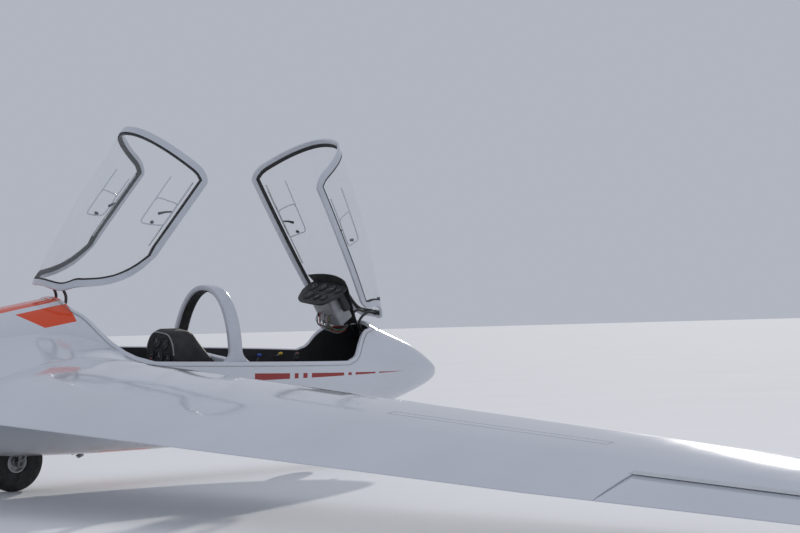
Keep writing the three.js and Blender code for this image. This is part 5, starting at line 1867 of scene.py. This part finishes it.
# %% Pedals
def pedals(name, x, z, half):
    """Two ribbed plates with heel cups on a cross tube."""
    reach = float(side_at(x, z, WALL + 0.002))
    forms = [cross_bar(x, z, -reach, reach, 0.009)]
    for side in (-1, 1):
        y = side * (half - 0.060)
        forms.append(block((x - 0.003, y - 0.042, z - 0.008), (x + 0.003, y + 0.042, z + 0.150),
                           0.2))
        for rise in np.linspace(0.020, 0.135, 6):
            forms.append(cross_bar(x - 0.004, z + rise, y - 0.036, y + 0.036, 0.003, 8))
        turn = np.linspace(-1.0, 1.0, 20)
        loop = xyz(x - 0.045 * np.cos(turn * 1.45), y + 0.042 * turn, z + 0.075)
        forms.append(bar(loop, 0.003, 10))
    add(f"{name}_pedal_plates", merged(*forms), alloy, slot="alloy",
        stands_for=[f"{name}_rudder_pedals"])
    print(name, "pedal tube's length:", round(2 * reach, 3))


pedals("front", 2.640, 0.490, 0.150)
pedals("rear", 1.405, 0.340, 0.225)


# %% Levers along the wall
LEVER_Z = 0.646


def on_wall(x, z, inset):
    """A point on the cockpit's left wall at the station and height."""
    return xyz(x, side_at(x, z, inset), z)


def lever(x, z, length, finish, name, knob):
    """A lever off the wall: a rod inwards and up, and a round knob on its end."""
    foot = on_wall(x, z, 0.030)
    path = smooth_line([foot, foot + [0, -0.030, 0.010], foot + [0.010, -0.048, length]], 20)
    turn = np.linspace(0, math.pi, 12)
    centre = path[-1]
    shaft = np.stack([centre + [0, 0, knob * 1.4] * np.array(1 - math.cos(t)) / 2 for t in turn])
    add(name + "_rod", bar(path, 0.0045, 12), alloy, slot="alloy")
    add(name + "_knob", bar(shaft + [0, 0, -0.004], np.maximum(knob * np.sin(turn), 0.002), 20),
        finish, slot="black_plastic")


for name, first in (("front", 1.560), ("rear", 0.640)):
    x = np.linspace(first, first + 0.52, 24)
    rail = bar(on_wall(x, 0.640, 0.034), 0.007, 12)
    shelf_line = np.linspace(first - 0.03, first + 0.55, 20)
    low, high = on_wall(shelf_line, 0.560, 0.0255), on_wall(shelf_line, 0.600, 0.0255)
    inner = [0, -0.052, 0]
    ring = np.stack([low, low + [0, -0.034, -0.004], high + inner, high + [0, -0.040, 0.010],
                     high + [0, 0, 0.012]], axis=1)
    add(f"{name}_side_console", both_sides(capped(ring)), pan_grey, slot="liner")
    add(f"{name}_lever_rail", rail, alloy, slot="alloy")
    lever(first + 0.36, LEVER_Z, 0.050, blue_knob, f"{name}_airbrake_lever", 0.017)
    lever(first + 0.20, LEVER_Z, 0.040, green_knob, f"{name}_trim_lever", 0.012)
    lever(first + 0.52, 0.690, 0.016, yellow_knob, f"{name}_release_lever", 0.015)
    print(name, "rail from", first, "to", round(first + 0.52, 3))

# %% [markdown]
# Instruments are round gauges in a dark panel. A gauge is a turned bezel, a dark face, and
# thin white marks and a needle. An image would show more of a dial, but it blurs when seen from
# near by. The panel in front is bolted to the canopy and lifts with it.


# %% Gauges
TICKS = 9


def gauge(centre, right, up, radius, needle):
    """Bezel, face and marks of one gauge; out is the cross product of right and up."""
    out = np.cross(right, up)

    def local(a, b, c):
        """The centre plus a to the right, b up and c out."""
        a, b, c = np.broadcast_arrays(a, b, c)
        return centre + a[..., None] * right + b[..., None] * up + c[..., None] * out

    turn = full_turn(36)[:, None]
    rings = np.array([(radius, 0.0), (radius, 0.005), (radius * 0.93, 0.0065),
                      (radius * 0.86, 0.005), (radius * 0.85, 0.0015)])
    bezel_grid = local(rings[:, 0] * np.cos(turn), rings[:, 0] * np.sin(turn), rings[:, 1])
    bezel = capped(bezel_grid.transpose(1, 0, 2))
    angle = np.linspace(-2.2, 2.2, TICKS)[:, None, None] + math.pi / 2
    reach = np.array([0.60, 0.80])[None, :, None] * radius
    wide = np.array([-1, 1])[None, None, :] * radius * 0.022
    a = reach * np.cos(angle) - wide * np.sin(angle)
    b = reach * np.sin(angle) + wide * np.cos(angle)
    low, high = local(a, b, 0.0017), local(a, b, 0.0026)
    corners = np.concatenate([side.reshape(TICKS, 4, 3) for side in (low, high)], axis=1)
    box = np.array([[0, 2, 3, 1], [4, 5, 7, 6], [0, 1, 5, 4], [2, 6, 7, 3], [0, 4, 6, 2],
                    [1, 3, 7, 5]])
    faces = (box[None] + 8 * np.arange(TICKS)[:, None, None]).reshape(-1, 4)
    marks = (corners.reshape(-1, 3), [faces])
    tip = np.array([math.cos(needle), math.sin(needle)]) * radius * 0.72
    hand = bar([local(*(-tip * 0.2), 0.0030), local(*tip, 0.0030)], [0.0022, 0.0007], 8)
    return bezel, merged(marks, hand)


def gauges(name, places, face, body="airframe", place=None):
    """All gauges of one panel: face is (corner, right, up), and places give (a, b, radius)."""
    corner, right, up = face
    made = [gauge(corner + a * right + b * up, right, up, radius, needle)
            for a, b, radius, needle in places]
    add(f"{name}_gauge_bezels", merged(*(bezel for bezel, _ in made)), black_plastic, body,
        "black_plastic", place=place)
    add(f"{name}_gauge_marks", merged(*(marks for _, marks in made)), dial_white, body,
        "black_plastic", place=place)


print("ticks on a dial:", TICKS)


# %% Rear instrument pod
POD_FOOT, POD_HALF, POD_POWER = 0.6975, 0.150, 0.30


def pod_form():
    """Sections across from the aft face to the hoop: a superellipse arch whose top falls from
    0.925 to 0.762 and whose half width is 0.150 at the foot and 0.62 of that at the top."""
    x = np.array([0.9855, 0.987, 0.992, 1.02, 1.07, 1.12, 1.155, 1.19, 1.24, 1.294])
    top = np.interp(x, [0.985, 1.0, 1.15, 1.2957], [0.905, 0.925, 0.925, 0.762])
    grow = np.interp(x, [0.9855, 0.992, 1.2], [0.985, 1.0, 1.0])
    wide, high = rounded_share(np.linspace(0, math.pi, 30), POD_POWER)
    narrow = 1 - 0.38 * high**3
    return capped(xyz(x[:, None], POD_HALF * wide * narrow * grow[:, None],
                      POD_FOOT + (top[:, None] - POD_FOOT) * high * grow[:, None]))


add("rear_pod_hood", pod_form(), hood_black, slot="black_plastic",
    stands_for=["rear_instrument_pod"], crease=50)
wide, high = rounded_share(np.linspace(0.06, math.pi - 0.06, 50), POD_POWER)
lip = xyz(0.9845, (POD_HALF - 0.001) * wide * (1 - 0.38 * high**3), POD_FOOT + 0.2075 * high)
add("rear_pod_lip", bar(lip, 0.0045, 10), painted_grey, slot="black_plastic")
pod_face = (np.array([0.9835, 0.0, 0.790]), -unit([0, 1, 0]), unit([0.015, 0, 0.235]))
gauges("rear", [(-0.043, 0.058, 0.038, 2.3), (0.043, 0.058, 0.038, 1.0),
                (-0.088, -0.030, 0.029, 0.5), (0.0, -0.030, 0.040, 2.0),
                (0.088, -0.030, 0.029, 1.4)], pod_face)
print("pod's half width:", POD_HALF)


# %% Front instrument panel, under its cowl on the canopy
PANEL_FRONT, PANEL_BACK, DIAL_LEVEL = 2.150, 2.166, 0.655


def cowl_form():
    """A crowned sheet over the gauges: half width 0.190 to 0.064, and its height falls from
    0.792 in the middle to 0.750 at the sides with the square of the distance."""
    x = np.linspace(2.100, 2.500, 26)[:, None]
    share = np.linspace(-1, 1, 31)[None, :]
    half = np.interp(x, [2.10, 2.51], [0.190, 0.066])
    lift = 0.7905 - 0.038 * share**2 - 0.010 * (1 - np.clip((x - 2.1) / 0.06, 0, 1))
    return shell(xyz(x, half * share, lift)[:, ::-1], 0.005)


add("front_panel_cowl", cowl_form(), hood_black, "front_canopy", "black_plastic",
    ["front_instrument_panel"], place=front_swing)
wide, high = rounded_share(full_turn(48), 0.36)
panel_outline = np.stack([0.186 * wide * np.where(high > 0, 1, 0.72 + 0.28 * (1 + high)),
                          0.658 + np.where(high > 0, 0.108, 0.112) * high], axis=1)
on_panel = {"body": "front_canopy", "slot": "black_plastic", "place": front_swing}
board = plate(panel_outline, PANEL_FRONT + 0.001, PANEL_BACK, axis=0)
soften(add("front_panel_board", board, black_plastic, **on_panel), 0.002, 2)
panel_face = (np.array([PANEL_FRONT + 0.0005, 0.0, DIAL_LEVEL]), -unit([0, 1, 0]),
              unit([0, 0, 1]))
gauges("front", [(-0.118, 0.045, 0.040, 2.2), (-0.030, 0.052, 0.040, 1.2),
                 (0.058, 0.052, 0.040, 0.4), (0.136, 0.045, 0.029, 2.6),
                 (-0.075, -0.040, 0.040, 1.8), (0.012, -0.045, 0.029, 0.9),
                 (0.080, -0.040, 0.029, 2.0)], panel_face, "front_canopy", front_swing)
add("front_radio_box", block((2.168, -0.108, 0.622), (2.395, 0.108, 0.742), 0.2), painted_grey,
    **on_panel)
cases = [bar([(PANEL_BACK, y, DIAL_LEVEL + z), (PANEL_BACK + depth, y, DIAL_LEVEL + z)], radius, 24)
         for y, z, radius, depth in ((0.118, 0.045, 0.037, 0.10), (-0.136, 0.045, 0.027, 0.13))]
add("front_gauge_cases", merged(*cases), black_plastic, **on_panel)
print("board's points:", len(board[0]))


# %% Leads under the front panel
def loose_wires(seed, count):
    """Bundled leads from the gauges to the deck: smooth curves through seeded points."""
    draw = np.random.default_rng(seed)
    forms = []
    for _ in range(count):
        y = draw.uniform(-0.09, 0.09)
        knots = np.array([(2.30, y, 0.622), (2.34, y * 0.8, 0.585), (2.40, y * 0.4, 0.600),
                          (2.46, y * 0.3, 0.660), (2.47, y * 0.3, 0.720)])
        knots[1:4] += draw.uniform(-0.018, 0.018, (3, 3))
        forms.append(bar(smooth_line(knots, 30), draw.uniform(0.0018, 0.0035), 8))
    return merged(*forms)


for name, seed, count, finish in (("grey", 3, 5, painted_grey), ("red", 5, 2, red_knob),
                                  ("green", 8, 2, green_knob), ("black", 11, 5, seal_black)):
    add(f"front_panel_leads_{name}", loose_wires(seed, count), finish, **on_panel)
    print(name, "leads:", count)

# %% [markdown]
# The canopies carry small things: a sliding window in a thin white frame, with a round knob, and
# a locking handle with its rod along each lower rail. Placed by hand they would float off the
# bubble, so each is given as shares of the canopy's patch and a distance from it.


# %% Windows, handles and rods on the canopies
def on_canopy(front, s, t, lift):
    """Points over or under a canopy's surface, lift square to it."""
    s, t, lift = np.broadcast_arrays(np.asarray(s, float), np.asarray(t, float), lift)
    point = canopy_point(front, s, t)
    return point + hull_normals(point) * lift[..., None]


WINDOW_AFT, WINDOW_FORE, WINDOW_GUIDE = 0.33, 0.53, 0.17    # shares of the canopy's length
WINDOW_LOW, WINDOW_HIGH = 0.048, 0.140                      # shares of the way over the canopy
for name, (front, swing, _, _) in CANOPIES.items():
    wide, high = rounded_share(full_turn(96), 0.28)
    s = (WINDOW_AFT + WINDOW_FORE) / 2 + (WINDOW_FORE - WINDOW_AFT) / 2 * wide
    t = (WINDOW_LOW + WINDOW_HIGH) / 2 + (WINDOW_HIGH - WINDOW_LOW) / 2 * high
    forms = [closed_tube(on_canopy(front, s, t, -0.007), 0.0042)]
    for level in (WINDOW_LOW, WINDOW_HIGH):
        guide = on_canopy(front, np.linspace(WINDOW_GUIDE, WINDOW_AFT + 0.02, 12), level, -0.007)
        forms.append(bar(guide, 0.0036, 8))
    add(f"{name}_window_frames", both_sides(merged(*forms)), frame_white, f"{name}_canopy",
        "glazing", place=swing)
    knob = on_canopy(front, np.full(2, WINDOW_FORE - 0.02), (WINDOW_LOW + WINDOW_HIGH) / 2,
                     np.array([-0.010, -0.030]))
    add(f"{name}_window_knobs", both_sides(bar(knob, [0.010, 0.008], 18)), black_plastic,
        f"{name}_canopy", "black_plastic", place=swing)
    rod = on_canopy(front, np.linspace(0.12, 0.72, 30), 0.955, -0.030)
    handle = on_canopy(front, np.array([0.40, 0.41, 0.43]), np.array([0.952, 0.935, 0.915]),
                       np.array([-0.030, -0.050, -0.060]))
    rods = [bar(rod * [1, side, 1], 0.004, 10) for side in (1, -1)]
    add(f"{name}_latch_rods", merged(*rods), alloy, f"{name}_canopy", "alloy", place=swing)
    add(f"{name}_latch_handles", both_sides(bar(handle, [0.005, 0.006, 0.009], 12)), black_plastic,
        f"{name}_canopy", "black_plastic", place=swing)

# %% [markdown]
# The studio: a pale floor, a low distant light ahead on the right, where the picture's sun
# stands, weak panels above and behind the camera, and an even pale world. A photographed sky
# would give livelier reflections, but it would bring a place into a picture of one object.

# %% Floor, light and world
FLOOR_HALF = 400.0


def make_floor():
    """A square of floor under the wheels, a little uneven in tone."""
    corners = [(x * FLOOR_HALF, y * FLOOR_HALF, 0) for x, y in ((-1, -1), (1, -1), (1, 1), (-1, 1))]
    mesh = bpy.data.meshes.new("floor")
    mesh.from_pydata(corners, [], [(0, 1, 2, 3)])
    floor = bpy.data.objects.new("floor", mesh)
    bpy.context.scene.collection.objects.link(floor)
    paint = Finish("pale_floor")
    tone = paint.noise(0.6, 4.0)
    paint.wear(Base_Color=paint.mix(tone, rgb(0.86, 0.87, 0.88), rgb(0.80, 0.81, 0.82)),
               Roughness=0.95)
    mesh.materials.append(paint.material)


def make_light(name, place, target, size, power, colour):
    """An area light at the place that faces the target and isn't mirrored in the gelcoat."""
    data = bpy.data.lights.new(name, "AREA")
    data.shape, data.size, data.energy, data.color = "DISK", size, power, colour
    light = bpy.data.objects.new(name, data)
    bpy.context.scene.collection.objects.link(light)
    away = unit(np.array(place) - np.array(target))
    side = unit(np.cross([0, 0, 1], away))
    turn = Matrix(np.stack([side, np.cross(away, side), away], axis=1).tolist()).to_4x4()
    light.matrix_world = Matrix.Translation(place) @ turn
    light.visible_glossy = False


def make_sun(heading, height, width, strength, colour):
    """A distant light at a heading from +Y towards +X and a height, both in degrees."""
    data = bpy.data.lights.new("low_sun", "SUN")
    data.angle, data.energy, data.color = width, strength, colour
    light = bpy.data.objects.new("low_sun", data)
    bpy.context.scene.collection.objects.link(light)
    light.rotation_euler = (math.radians(height - 90), 0, math.radians(-heading))


make_floor()
make_sun(51.3, 14.4, 0.02, 1.8, (1.0, 0.96, 0.90))
make_light("fill_panel", (-9.0, -6.0, 5.0), (0.5, 0, 0.8), 7.0, 45, (0.90, 0.93, 1.0))
make_light("top_panel", (2.0, -4.0, 11.0), (0.5, 0, 0.8), 7.0, 60, (0.90, 0.93, 1.0))
world = bpy.data.worlds.new("studio")
bpy.context.scene.world = world
world.use_nodes = True
world.node_tree.nodes["Background"].inputs["Color"].default_value = (0.79, 0.83, 0.94, 1)
world.node_tree.nodes["Background"].inputs["Strength"].default_value = 0.56
bpy.context.scene.view_settings.view_transform = "Standard"
print("lights:", len(bpy.data.lights))

# %% The json module
import json
